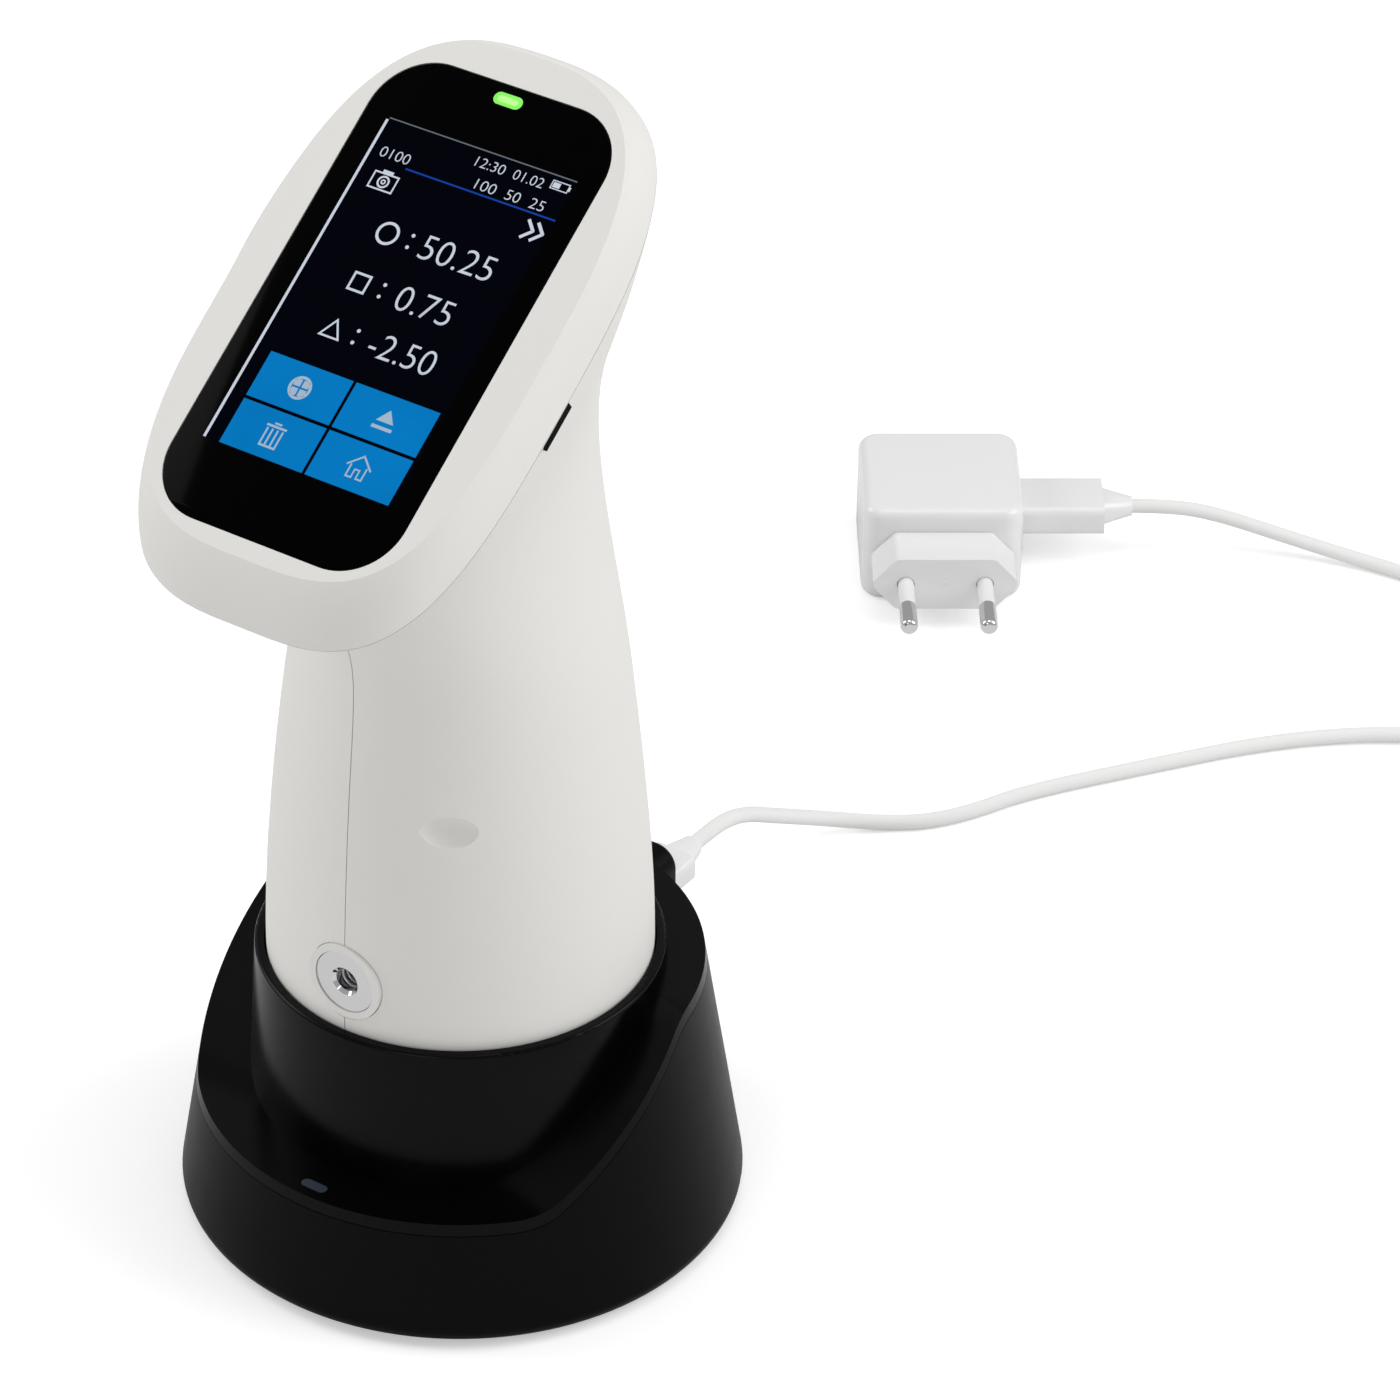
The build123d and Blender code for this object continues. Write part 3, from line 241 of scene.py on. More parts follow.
FOOT_RUBBER = Finish("foot_rubber", (0.02, 0.02, 0.02), 0.85, mottle=0.15)
CORD_WHITE = Finish("cord_white", (0.74, 0.74, 0.74), 0.45, Grain.SATIN)
ADAPTER_WHITE = Finish("adapter_white", (0.76, 0.76, 0.765), 0.30, Grain.POLISHED)
TIE_CLOTH = Finish("tie_cloth", (0.02, 0.02, 0.022), 0.9, Grain.WOVEN, mottle=0.3)


# Vertices of a copied node that lie closer than this are joined.
WELD = 0.002
# Heights over the glass of the lit area, of what lies on it and of the signs on that.
FIELD_LIFT, LINE_LIFT, SIGN_LIFT = 0.010, 0.024, 0.038
# Thickness of everything that is drawn on the glass.
INK = 0.012


def rides(piece: bpy.types.Object, body: str, slot: str, *nodes: str) -> bpy.types.Object:
    """Put a finished piece on its body.

    Args:
        piece: The new piece, in place.
        body: Name of the body that it moves with.
        slot: Material slot of the record; not used.
        nodes: Nodes that it stands for, if any.

    Returns:
        The piece.
    """
    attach(piece, body)
    if nodes:
        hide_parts(*nodes)
    return piece


def piece_from(name: str, bm: bmesh.types.BMesh, finish: Finish) -> bpy.types.Object:
    """Turn a bmesh into an object.

    Args:
        name: Name of the piece.
        bm: The shape; it is freed.
        finish: Its finish.

    Returns:
        The new object, at the origin.
    """
    mesh = bpy.data.meshes.new(name)
    bm.to_mesh(mesh)
    bm.free()
    mesh.materials.append(finish.material())
    piece = bpy.data.objects.new(name, mesh)
    bpy.context.scene.collection.objects.link(piece)
    return piece


def soften(bm: bmesh.types.BMesh, corner: float = 32.0) -> None:
    """Shade smooth, apart from edges sharper than a corner angle.

    Args:
        bm: The shape.
        corner: Angle in degrees above which an edge stays sharp.
    """
    limit = math.radians(corner)
    for face in bm.faces:
        face.smooth = True
    for edge in bm.edges:
        edge.smooth = len(edge.link_faces) != 2 or edge.calc_face_angle(0.0) < limit


def dress(node: str, finish: Finish) -> None:
    """Give a carried-over node its finish.

    Args:
        node: Name of the node.
        finish: Its finish.
    """
    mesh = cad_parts[node].data
    mesh.materials.clear()
    mesh.materials.append(finish.material())


def refined(
    node: str, finish: Finish, body: str, slot: str, corner: float = 32.0
) -> bpy.types.Object:
    """A smooth-shaded copy of a node that stands for it.

    Args:
        node: Name of the node.
        finish: Its finish.
        body: Body that it moves with.
        slot: Material slot of the record.
        corner: Angle in degrees above which an edge stays sharp.

    Returns:
        The copy.
    """
    bm = bmesh.new()
    bm.from_mesh(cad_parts[node].data)
    bmesh.ops.remove_doubles(bm, verts=bm.verts, dist=WELD * MM)
    soften(bm, corner)
    copy = piece_from(node + "_skin", bm, finish)
    dress(node, finish)
    return rides(copy, body, slot, node)


@dataclass
class FlatWork:
    """Thin shapes drawn on the plane of the screen, in millimetres across and up.

    Args:
        place: Matrix from the screen's own frame to the row frame.
        lift: Height of the shapes over the glass, in millimetres.
        thin: Draw-in of the characters' outlines, as a share of their size.
    """

    place: Matrix
    lift: float
    thin: float = 0.011
    bm: bmesh.types.BMesh = field(default_factory=bmesh.new)

    def bar(self, x0: float, x1: float, s0: float, s1: float) -> None:
        """A plain rectangle between two corners."""
        made = bmesh.ops.create_grid(self.bm, x_segments=1, y_segments=1, size=0.5)
        self._fit(made["verts"], (x0 + x1) / 2, (s0 + s1) / 2, x1 - x0, s1 - s0)

    def slanted(self, x: float, s: float, length: float, height: float, turn: float) -> None:
        """A rectangle turned about its own middle.

        Args:
            x: Middle across.
            s: Middle up the screen.
            length: Length before the turn.
            height: Height before the turn.
            turn: Turn in degrees.
        """
        made = bmesh.ops.create_grid(self.bm, x_segments=1, y_segments=1, size=0.5)
        self._fit(made["verts"], x, s, length, height, turn)

    def polygon(self, x: float, s: float, width: float, height: float, sides: int) -> None:
        """A filled regular shape.

        Args:
            x: Middle across.
            s: Middle up the screen.
            width: Width in millimetres.
            height: Height in millimetres.
            sides: Number of sides.
        """
        made = bmesh.ops.create_circle(self.bm, cap_ends=True, radius=0.5, segments=sides)
        self._fit(made["verts"], x, s, width, height)

    def ring(
        self, x: float, s: float, outer: float, inner: float, sides: int = 40, turn: float = 0.0
    ) -> None:
        """A flat ring.

        Args:
            x: Middle across.
            s: Middle up the screen.
            outer: Outer radius.
            inner: Inner radius.
            sides: Number of sides.
            turn: Turn in degrees.
        """
        rims = []
        for radius in (outer, inner):
            made = bmesh.ops.create_circle(
                self.bm, cap_ends=False, radius=radius, segments=sides
            )
            self._fit(made["verts"], x, s, 1.0, 1.0, turn)
            rims += dict.fromkeys(edge for vert in made["verts"] for edge in vert.link_edges)
        bmesh.ops.bridge_loops(self.bm, edges=rims)

    def words(self, text: str, x0: float, x1: float, s0: float, s1: float) -> None:
        """Plain characters drawn to fill a rectangle."""
        curve = bpy.data.curves.new("characters", "FONT")
        curve.body = text
        curve.offset = -self.thin
        holder = bpy.data.objects.new("characters", curve)
        bpy.context.scene.collection.objects.link(holder)
        bpy.context.view_layer.update()
        mesh = bpy.data.meshes.new_from_object(holder)
        bpy.data.objects.remove(holder)
        bpy.data.curves.remove(curve)
        known = set(self.bm.verts)
        self.bm.from_mesh(mesh)
        bpy.data.meshes.remove(mesh)
        new = [vert for vert in self.bm.verts if vert not in known]
        low = Vector((min(vert.co.x for vert in new), min(vert.co.y for vert in new), 0))
        high = Vector((max(vert.co.x for vert in new), max(vert.co.y for vert in new), 0))
        size = high - low
        bmesh.ops.translate(self.bm, vec=-(low + high) / 2, verts=new)
        self._fit(new, (x0 + x1) / 2, (s0 + s1) / 2, (x1 - x0) / size.x, (s1 - s0) / size.y)

    def _fit(
        self,
        verts: Iterable[bmesh.types.BMVert],
        x: float,
        s: float,
        width: float,
        height: float,
        turn: float = 0.0,
    ) -> None:
        """Scale new points, turn them and move them to their place.

        Args:
            verts: The new points, about the origin.
            x: Middle across.
            s: Middle up the screen.
            width: Factor across.
            height: Factor up the screen.
            turn: Turn in degrees.
        """
        scale = Matrix.Diagonal((width, height, 1.0, 1.0))
        spin = Matrix.Rotation(math.radians(turn), 4, "Z")
        move = Matrix.Translation((x, s, self.lift))
        bmesh.ops.transform(self.bm, matrix=move @ spin @ scale, verts=verts)

    def finish(self, name: str, finish: Finish, slot: str) -> bpy.types.Object:
        """Give the shapes a little thickness and put them on the instrument.

        Args:
            name: Name of the piece.
            finish: Its finish.
            slot: Material slot of the record.

        Returns:
            The piece.
        """
        for face in self.bm.faces:
            if face.normal.z < 0:
                face.normal_flip()
        made = bmesh.ops.extrude_face_region(self.bm, geom=self.bm.faces[:])
        top = [item for item in made["geom"] if isinstance(item, bmesh.types.BMVert)]
        bmesh.ops.translate(self.bm, vec=(0, 0, INK), verts=top)
        bmesh.ops.recalc_face_normals(self.bm, faces=self.bm.faces)
        self.bm.transform(self.place @ Matrix.Scale(MM, 4))
        return rides(piece_from(name, self.bm, finish), "instrument", slot)


@dataclass
class Screen:
    """The glass of the head with the picture that it shows and the ready light.

    Args:
        tilt: Lean of the screen in degrees.
        middle: Middle of the glass in millimetres.
        width: Width of the glass.
        length: Length of the glass.
        corner: Corner radius of the glass.
        thickness: Thickness of the glass.
        eased: Width of the eased front edge.
        picture: Left, right, low and high edge of the lit area.
        tiles: Left, right, low and high edge of the block of four tiles.
    """

    tilt: float = 34.7
    middle: Point = (0.0, -21.8, 219.0)
    width: float = 54.6
    length: float = 102.8
    corner: float = 12.5
    thickness: float = 1.3
    eased: float = 0.22
    picture: Edges = (-22.0, 22.4, -35.7, 37.4)
    tiles: Edges = (-18.1, 21.4, -35.6, -15.1)

    def place(self) -> Matrix:
        """Matrix from the screen's own frame, in millimetres, to the row frame in metres."""
        turn = Matrix.Rotation(math.radians(self.tilt), 4, "X")
        return Matrix.Translation(Vector(self.middle) * MM) @ turn

    def glass(self) -> None:
        """Black cover glass with rounded corners and eased edges."""
        bm = bmesh.new()
        bmesh.ops.create_cube(bm, size=1.0)
        bmesh.ops.scale(bm, vec=(self.width, self.length, self.thickness), verts=bm.verts)
        upright = [
            edge for edge in bm.edges if edge.verts[0].co.z * edge.verts[1].co.z < 0
        ]
        bmesh.ops.bevel(
            bm, geom=upright, offset=self.corner, segments=20, profile=0.5, affect="EDGES"
        )
        rim = [edge for edge in bm.edges if all(vert.co.z > 0 for vert in edge.verts)]
        bmesh.ops.bevel(
            bm, geom=rim, offset=self.eased, segments=3, profile=0.5, affect="EDGES"
        )
        bmesh.ops.translate(bm, vec=(0, 0, -self.thickness / 2), verts=bm.verts)
        bm.transform(self.place() @ Matrix.Scale(MM, 4))
        soften(bm)
        glass = piece_from("cover_glass", bm, BLACK_GLASS)
        rides(glass, "instrument", "screen_glass", "screen_glass")

    def sheet(self, lift: float) -> FlatWork:
        """A fresh set of flat shapes at a height over the glass."""
        return FlatWork(self.place(), lift)

    def field(self) -> None:
        """Lit area with its bright edge lines."""
        left, right, low, high = self.picture
        left_line = (left + 0.1, left + 0.7, low + 0.1, high - 0.6)
        top_line = (left + 0.7, right, high - 0.30, high - 0.05)
        for name, finish, lift, edges in (
            ("picture_field", LIT_NAVY, FIELD_LIFT, self.picture),
            ("picture_edge_left", LIT_WHITE, LINE_LIFT, left_line),
            ("picture_edge_top", LIT_GREY, LINE_LIFT, top_line),
            ("picture_rule", LIT_LINE, LINE_LIFT, (-12.4, right, 28.25, 28.6)),
        ):
            work = self.sheet(lift)
            work.bar(*edges)
            work.finish(name, finish, "display")

    def readings(self) -> None:
        """Three large readings as plain numbers, each after a plain mark."""
        work = self.sheet(SIGN_LIFT)
        work.words("50.25", -0.5, 16.0, 12.3, 17.5)
        work.words("0.75", 0.4, 12.9, 1.1, 6.3)
        work.words("-2.50", 0.3, 15.0, -9.3, -4.1)
        work.ring(-8.6, 14.9, 2.5, 1.9)
        work.ring(-8.6, 3.7, 2.9, 2.2, 4, 45.0)
        work.ring(-8.6, -7.3, 2.9, 2.1, 3)
        for height in (14.9, 3.7, -6.7):
            for dot in (1.3, -1.3):
                work.polygon(-3.3, height + dot, 0.8, 0.8, 16)
        work.finish("readings", LIT_WHITE, "display")

    def status(self) -> None:
        """Small plain numbers and signs along the top of the picture."""
        work = self.sheet(SIGN_LIFT)
        for text, x0, x1 in (("12:30", 0.6, 7.2), ("01.02", 9.3, 16.1)):
            work.words(text, x0, x1, 33.6, 35.7)
        for text, x0, x1 in (
            ("0100", -19.3, -12.5),
            ("100", 3.0, 7.6),
            ("50", 10.0, 13.2),
            ("25", 15.6, 18.8),
        ):
            work.words(text, x0, x1, 29.2, 31.4)
        self._battery(work, 17.6, 21.6, 34.3, 36.2)
        self._camera(work, -15.3, 24.6)
        for shift in (0.0, 2.2):
            self._chevron(work, 18.1 + shift, 25.0)
        work.finish("status_signs", LIT_WHITE, "display")

    @staticmethod
    def _frame(work: FlatWork, x0: float, x1: float, s0: float, s1: float, line: float) -> None:
        """Hollow rectangle of four bars."""
        work.bar(x0, x1, s0, s0 + line)
        work.bar(x0, x1, s1 - line, s1)
        work.bar(x0, x0 + line, s0 + line, s1 - line)
        work.bar(x1 - line, x1, s0 + line, s1 - line)

    def _battery(self, work: FlatWork, x0: float, x1: float, s0: float, s1: float) -> None:
        """Battery sign, half full."""
        self._frame(work, x0, x1, s0, s1, 0.22)
        work.bar(x0 + 0.4, (x0 + x1) / 2, s0 + 0.4, s1 - 0.4)
        work.bar(x1, x1 + 0.35, s0 + 0.5, s1 - 0.5)

    def _camera(self, work: FlatWork, x: float, s: float) -> None:
        """Camera sign."""
        self._frame(work, x - 2.9, x + 2.9, s - 2.1, s + 1.7, 0.35)
        work.bar(x - 1.2, x + 1.2, s + 1.7, s + 2.3)
        work.ring(x, s - 0.2, 1.35, 0.95)
        work.ring(x, s - 0.2, 0.55, 0.25)

    @staticmethod
    def _chevron(work: FlatWork, x: float, s: float) -> None:
        """One arrow head of the double arrow."""
        for side in (-1, 1):
            work.slanted(x + 0.2, s + side * 0.95, 3.0, 0.66, -45.0 * side)

    def tile_block(self) -> None:
        """Four blue tiles with their signs."""
        left, right, low, high = self.tiles
        gap = 0.7
        wide = (right - left - gap) / 2
        tall = (high - low - gap) / 2
        work = self.sheet(LINE_LIFT)
        for column in (0, 1):
            for row in (0, 1):
                x0 = left + column * (wide + gap)
                s0 = low + row * (tall + gap)
                work.bar(x0, x0 + wide, s0, s0 + tall)
        work.finish("picture_tiles", LIT_BLUE, "display")
        first, second = left + wide / 2, right - wide / 2
        upper, lower = high - tall / 2, low + tall / 2
        signs = self.sheet(SIGN_LIFT)
        self._target(signs, first, upper)
        signs.polygon(second, upper + 0.3, 4.6, 3.6, 3)
        signs.bar(second - 2.3, second + 2.3, upper - 2.2, upper - 1.5)
        self._bin(signs, first, lower)
        self._house(signs, second, lower)
        signs.finish("tile_signs", LIT_PALE, "display")

    @staticmethod
    def _target(work: FlatWork, x: float, s: float) -> None:
        """Circle with a cross through it."""
        for column in (-1, 1):
            for row in (-1, 1):
                across = sorted((x + 0.2 * column, x + 1.7 * column))
                upward = sorted((s + 0.2 * row, s + 1.7 * row))
                work.bar(*across, *upward)
        work.ring(x, s, 2.5, 1.9)

    @staticmethod
    def _bin(work: FlatWork, x: float, s: float) -> None:
        """Waste bin sign."""
        work.bar(x - 2.3, x + 2.3, s + 1.5, s + 1.95)
        work.bar(x - 0.8, x + 0.8, s + 2.2, s + 2.6)
        for shift in (-1.75, -0.6, 0.6, 1.75):
            work.bar(x + shift - 0.2, x + shift + 0.2, s - 2.3, s + 1.2)
        work.bar(x - 1.95, x + 1.95, s - 2.75, s - 2.3)

    @staticmethod
    def _house(work: FlatWork, x: float, s: float) -> None:
        """House sign, drawn as an outline."""
        for side in (-1, 1):
            work.slanted(x + side * 1.3, s + 1.25, 3.9, 0.38, -42.0 * side)
            for near, far, top in ((1.95, 1.6, 0.3), (1.6, 0.7, -2.15), (0.7, 0.4, -0.4)):
                work.bar(*sorted((x + side * near, x + side * far)), s - 2.5, s + top)
        work.bar(x - 0.4, x + 0.4, s - 0.7, s - 0.4)

    def ready_light(self) -> None:
        """Green capsule light over the picture."""
        for name, wide, tall, lift, finish in (
            ("ready_light", 6.5, 2.7, 0.012, GREEN_LAMP),
            ("ready_light_core", 4.6, 1.3, 0.026, GREEN_CORE),
        ):
            work = self.sheet(lift)
            work.polygon(0.0, 48.3, tall, tall, 32)
            for vert in work.bm.verts:
                vert.co.x += math.copysign((wide - tall) / 2, vert.co.x)
            work.finish(name, finish, "green_light")

    def build(self) -> None:
        """Make every piece of the screen."""
        self.glass()
        self.field()
        self.readings()
        self.status()
        self.tile_block()
        self.ready_light()
        dress("display_panel", LIT_NAVY)
        dress("screen_light", GREEN_LAMP)
        LOG.info("screen with its picture and ready light")


@dataclass
class Instrument:
    """Housing of the instrument, its threaded insert, button and inner parts.

    Args:
        insert_height: Height of the threaded insert in millimetres.
        insert_front: Place of its front face along Y.
        thread_radius: Radius of the hole.
        thread_pitch: Pitch of the thread.
        thread_turns: Turns of thread that show.
        ridge: Half thickness of a ridge.
        thread_steps: Steps in one turn of the thread.
        thread_start: Depth at which the thread starts, behind the front face.
        hollow_place: Middle of the thumb hollow: distance out, turn in degrees, height.
        hollow_lean: Rise of the hollow's own direction per unit out.
        hollow_half: Half length and half height of the thumb hollow.
        hollow_depths: Least and greatest depth that count as part of the hollow.
        hollow_deeper: Factor by which the skin of the hollow is deepened.
        slit: Low and high end up the head, upper and lower depth, inner and outer side.
    """

    insert_height: float = 73.0
    insert_front: float = -39.4
    thread_radius: float = 2.55
    thread_pitch: float = 1.27
    thread_turns: int = 6
    ridge: float = 0.34
    thread_steps: int = 28
    thread_start: float = 2.3
    hollow_place: Point = (36.64, 33.1, 112.2)
    hollow_lean: float = 0.11
    hollow_half: tuple[float, float] = (6.4, 3.6)
    hollow_depths: tuple[float, float] = (0.06, 1.9)
    hollow_deeper: float = 1.5
    slit: tuple[float, float, float, float, float, float] = (-10.8, -0.8, 10.5, 12.6, 36.9, 38.1)

    def housing(self) -> None:
        """Smooth copies of the white mouldings."""
        for node in ("front_bezel", "right_handle_shell", "left_handle_shell"):
            skin = refined(node, WHITE_HOUSING, "instrument", "white_housing", 24.0)
            if node == "right_handle_shell":
                self.deepen_hollow(skin)
        refined("insert_trim_ring", WHITE_HOUSING, "instrument", "white_housing")
        refined("measure_button", WHITE_HOUSING, "button", "white_housing")

    def deepen_hollow(self, skin: bpy.types.Object) -> None:
        """Draw the thumb hollow in the skin of the right shell a little deeper.

        Args:
            skin: The skin of the right shell.
        """
        out, turn, height = self.hollow_place
        sine, cosine = math.sin(math.radians(turn)), math.cos(math.radians(turn))
        across = Vector((cosine, sine, 0))
        normal = Vector((sine, -cosine, self.hollow_lean)).normalized()
        up = normal.cross(across)
        middle = Vector((out * sine, -out * cosine, height))
        half_length, half_height = self.hollow_half
        least, greatest = self.hollow_depths
        for vert in skin.data.vertices:
            place = vert.co / MM - middle
            x, y, z = place.dot(across), place.dot(up), place.dot(normal)
            depth = -x * x / (2 * out) - z
            inside = abs(x) < half_length and abs(y) < half_height
            if inside and least < depth < greatest:
                vert.co -= normal * (depth * (self.hollow_deeper - 1) * MM)

    def slit_painted_shade(self) -> None:
        """Painted shade: black lining that frames the mouth of the service port."""
        low, high, upper, lower, inner, outer = self.slit
        bm = bmesh.new()
        bmesh.ops.create_cube(bm, size=1.0)
        bmesh.ops.scale(bm, vec=(outer - inner, high - low, lower - upper), verts=bm.verts)
        bmesh.ops.bevel(
            bm, geom=bm.edges[:], offset=0.15, segments=2, profile=0.5, affect="EDGES"
        )
        middle = ((inner + outer) / 2, (low + high) / 2, -(upper + lower) / 2)
        bmesh.ops.translate(bm, vec=middle, verts=bm.verts)
        bm.transform(Screen().place() @ Matrix.Scale(MM, 4))
        # This black piece is painted shade over the slit, not a part of the port.
        rides(piece_from("slit_painted_shade", bm, SLIT_SHADE_PAINT), "instrument", "switch_black")

    def thread(self) -> None:
        """Ridges of the thread in the mouth of the insert, spun as a helix."""
        bm = bmesh.new()
        made = bmesh.ops.create_circle(bm, cap_ends=False, radius=self.ridge, segments=6)
        upright = Matrix.Rotation(math.radians(90), 3, "X")
        bmesh.ops.rotate(bm, matrix=upright, verts=made["verts"])
        bmesh.ops.translate(bm, vec=(self.thread_radius, 0, 0), verts=made["verts"])
        bmesh.ops.spin(
            bm,
            geom=bm.verts[:] + bm.edges[:],
            cent=(0, 0, 0),
            axis=(0, 0, 1),
            dvec=(0, 0, self.thread_pitch / self.thread_steps),
            angle=2 * math.pi * self.thread_turns,
            steps=self.thread_steps * self.thread_turns,
            use_merge=False,
        )
        ends = [edge for edge in bm.edges if edge.is_boundary]
        bmesh.ops.holes_fill(bm, edges=ends, sides=8)
        bmesh.ops.recalc_face_normals(bm, faces=bm.faces)
        soften(bm, 50.0)
        start = Vector((0, self.insert_front + self.thread_start, self.insert_height))
        stand = Matrix.Translation(start * MM)
        turn = Matrix.Rotation(math.radians(-90), 4, "X")
        bm.transform(stand @ turn @ Matrix.Scale(MM, 4))
        # Painted shade: the ridges are real, but they take the darker plain steel rather than the
        # insert's bright steel to darken the hole.
        rides(piece_from("insert_thread", bm, PLAIN_STEEL), "instrument", "bright_steel")

    def build(self) -> None:
        """Make the housing and dress what it holds."""
        self.housing()
        self.slit_painted_shade()
        self.thread()
        refined("tripod_insert", BRIGHT_STEEL, "instrument", "bright_steel")
        for node, finish in (
            ("main_board", BOARD),
            ("service_port", SWITCH_BLACK),
            ("measuring_end_cover", SWITCH_BLACK),
            ("aperture_ring", SWITCH_BLACK),
            ("integrating_sphere", SPHERE_WHITE),
            ("lamp_board", BOARD),
            ("spectrometer_module", ALLOY),
            ("battery_pack", BATTERY_WRAP),
            ("cover_screws", PLAIN_STEEL),
            ("charging_pads", GOLD),
            ("button_switch", SWITCH_BLACK),
            ("button_board", BOARD),
        ):
            dress(node, finish)
        LOG.info("instrument housing, insert and inner parts")


class ChargingBase:
    """The black base that holds and charges the instrument."""

    def build(self) -> None:
        """Smooth copies of the mouldings, and finishes for the rest."""
        refined("base_skirt", BLACK_SKIRT, "base", "black_base", 26.0)
        refined("base_top_cover", BLACK_LEDGE, "base", "black_gloss", 26.0)
        refined("base_light", GREY_LAMP, "base", "grey_light")
        for node, finish in (
            ("calibration_tile", TILE_GLAZE),
            ("tile_holder", SWITCH_BLACK),
            ("contact_barrels", GOLD),
            ("contact_pins", GOLD),
            ("contact_board", BOARD),
            ("base_bottom_plate", SWITCH_BLACK),
            ("base_foot_ring", FOOT_RUBBER),
            ("base_usb_socket", PLAIN_STEEL),
            ("socket_board", BOARD),
            ("base_screws", PLAIN_STEEL),
        ):
            dress(node, finish)
        LOG.info("charging base")


@dataclass
class Lead:
    """The white lead from the base to the wall adapter, with its put-away coil.

    Args:
        diameter: Thickness of the lead in millimetres.
        exit_y: Place along Y where it leaves the plug.
        socket_z: Height at which it leaves the plug.
        coil_x: Middle of the coil along X.
        coil_y: Middle of the coil along Y.
        outer: Radius of the first turn.
        pitch: Step from turn to turn.
        turns: Half turns on the lower layer.
        low: Height of the lower layer.
        high: Height of the upper layer.
        reverse: Draw-in of the half turn that climbs.
        length: Whole length in metres; not used.
    """

    diameter: float = 3.5
    exit_y: float = 85.3
    socket_z: float = 34.0
    coil_x: float = 122.0
    coil_y: float = 284.0
    outer: float = 24.0
    pitch: float = 4.3
    turns: int = 5
    low: float = 2.65
    high: float = 6.85
    reverse: float = 0.9
    length: float = 1.012

    def out_of_base(self) -> list[Point]:
        """Points from the plug to the coil."""
        floor = self.diameter / 2
        return [
            (0.0, self.exit_y, self.socket_z),
            (0.0, self.exit_y + 9, self.socket_z),
            (-1.2, self.exit_y + 18, self.socket_z - 3.2),
            (-3.2, self.exit_y + 28, 25.0),
            (-5.4, 124.0, 17.6),
            (-6.2, 134.0, 11.2),
            (-4.8, 143.0, 6.2),
            (-0.8, 150.2, 3.0),
            (5.5, 155.6, floor + 0.05),
            (13.0, 161.4, floor),
            (19.2, 170.3, floor + 0.05),
            (25.0, 184.0, floor),
            (41.0, 207.0, floor),
            (62.0, 236.0, floor + 0.1),
            (86.0, 256.0, floor + 0.3),
            (self.coil_x - 16, self.coil_y - self.outer, self.low),
        ]

    def coil(self) -> list[Point]:
        """Points of the turns, worked out half turn by half turn."""
        inward = [self.outer - step * self.pitch / 2 for step in range(self.turns + 1)]
        radii = inward + [inward[-1] - self.reverse] + inward[-2::-1]
        points = []
        steps = 8
        ease = 1 / math.cos(math.pi / steps / 2)
        for half, (start, end) in enumerate(zip(radii, radii[1:])):
            side = -1 if half % 2 == 0 else 1
            reach = (start + end) / 2
            middle = self.coil_y + side * (start - end) / 2
            here = self.low if half <= self.turns else self.high
            there = self.low if half < self.turns else self.high
            for step in range(steps):
                share = (step + 0.5) / steps
                turn = side * math.pi / 2 + math.pi * share
                points.append(
                    (
                        self.coil_x + reach * ease * math.cos(turn),
                        middle + reach * ease * math.sin(turn),
                        here + (there - here) * share,
                    )
                )
        return points

    def into_adapter(self, adapter: "WallAdapter") -> list[Point]:
        """Points from the coil to the plug in the adapter."""
        floor = self.diameter / 2
        return [
            (self.coil_x - 16, self.coil_y + self.outer, self.high),
            (88.0, 310.0, 4.6),
            (71.0, 313.0, floor + 0.4),
            (53.0, 314.5, floor),
            (37.0, 312.5, floor + 0.5),
            (23.0, 307.5, 5.2),
            adapter.at(adapter.plug_end + 20, adapter.plug_side + 1.0, adapter.middle - 2.6),
            adapter.at(adapter.plug_end + 9, adapter.plug_side, adapter.middle),
            adapter.at(adapter.plug_end, adapter.plug_side, adapter.middle),
        ]

    def build(self, adapter: "WallAdapter") -> None:
        """Make the lead as one smooth curve, and its tie and plug.

        Args:
            adapter: The wall adapter that it ends in.
        """
        points = self.out_of_base() + self.coil() + self.into_adapter(adapter)
        curve = bpy.data.curves.new("lead", "CURVE")
        curve.dimensions = "3D"
        curve.resolution_u = 10
        curve.bevel_depth = self.diameter / 2 * MM
        curve.bevel_resolution = 5
        curve.use_fill_caps = True
        spline = curve.splines.new("NURBS")
        spline.points.add(len(points) - 1)
        for place, point in zip(spline.points, points):
            place.co = (*(Vector(point) * MM), 1.0)
        spline.order_u = 3
        spline.use_endpoint_u = True
        curve.materials.append(CORD_WHITE.material())
        lead = bpy.data.objects.new("white_lead", curve)
        bpy.context.scene.collection.objects.link(lead)
        rides(lead, "base", "cord_white", "cord_from_base", "cord_coil", "cord_to_adapter")
        base_plug = refined("base_plug_grip", ADAPTER_WHITE, "base", "adapter_white")
        tie = refined("coil_tie", TIE_CLOTH, "base", "tie_black")
        dress("base_plug_tip", BRIGHT_STEEL)
        LOG.info("lead of %d points", len(points))


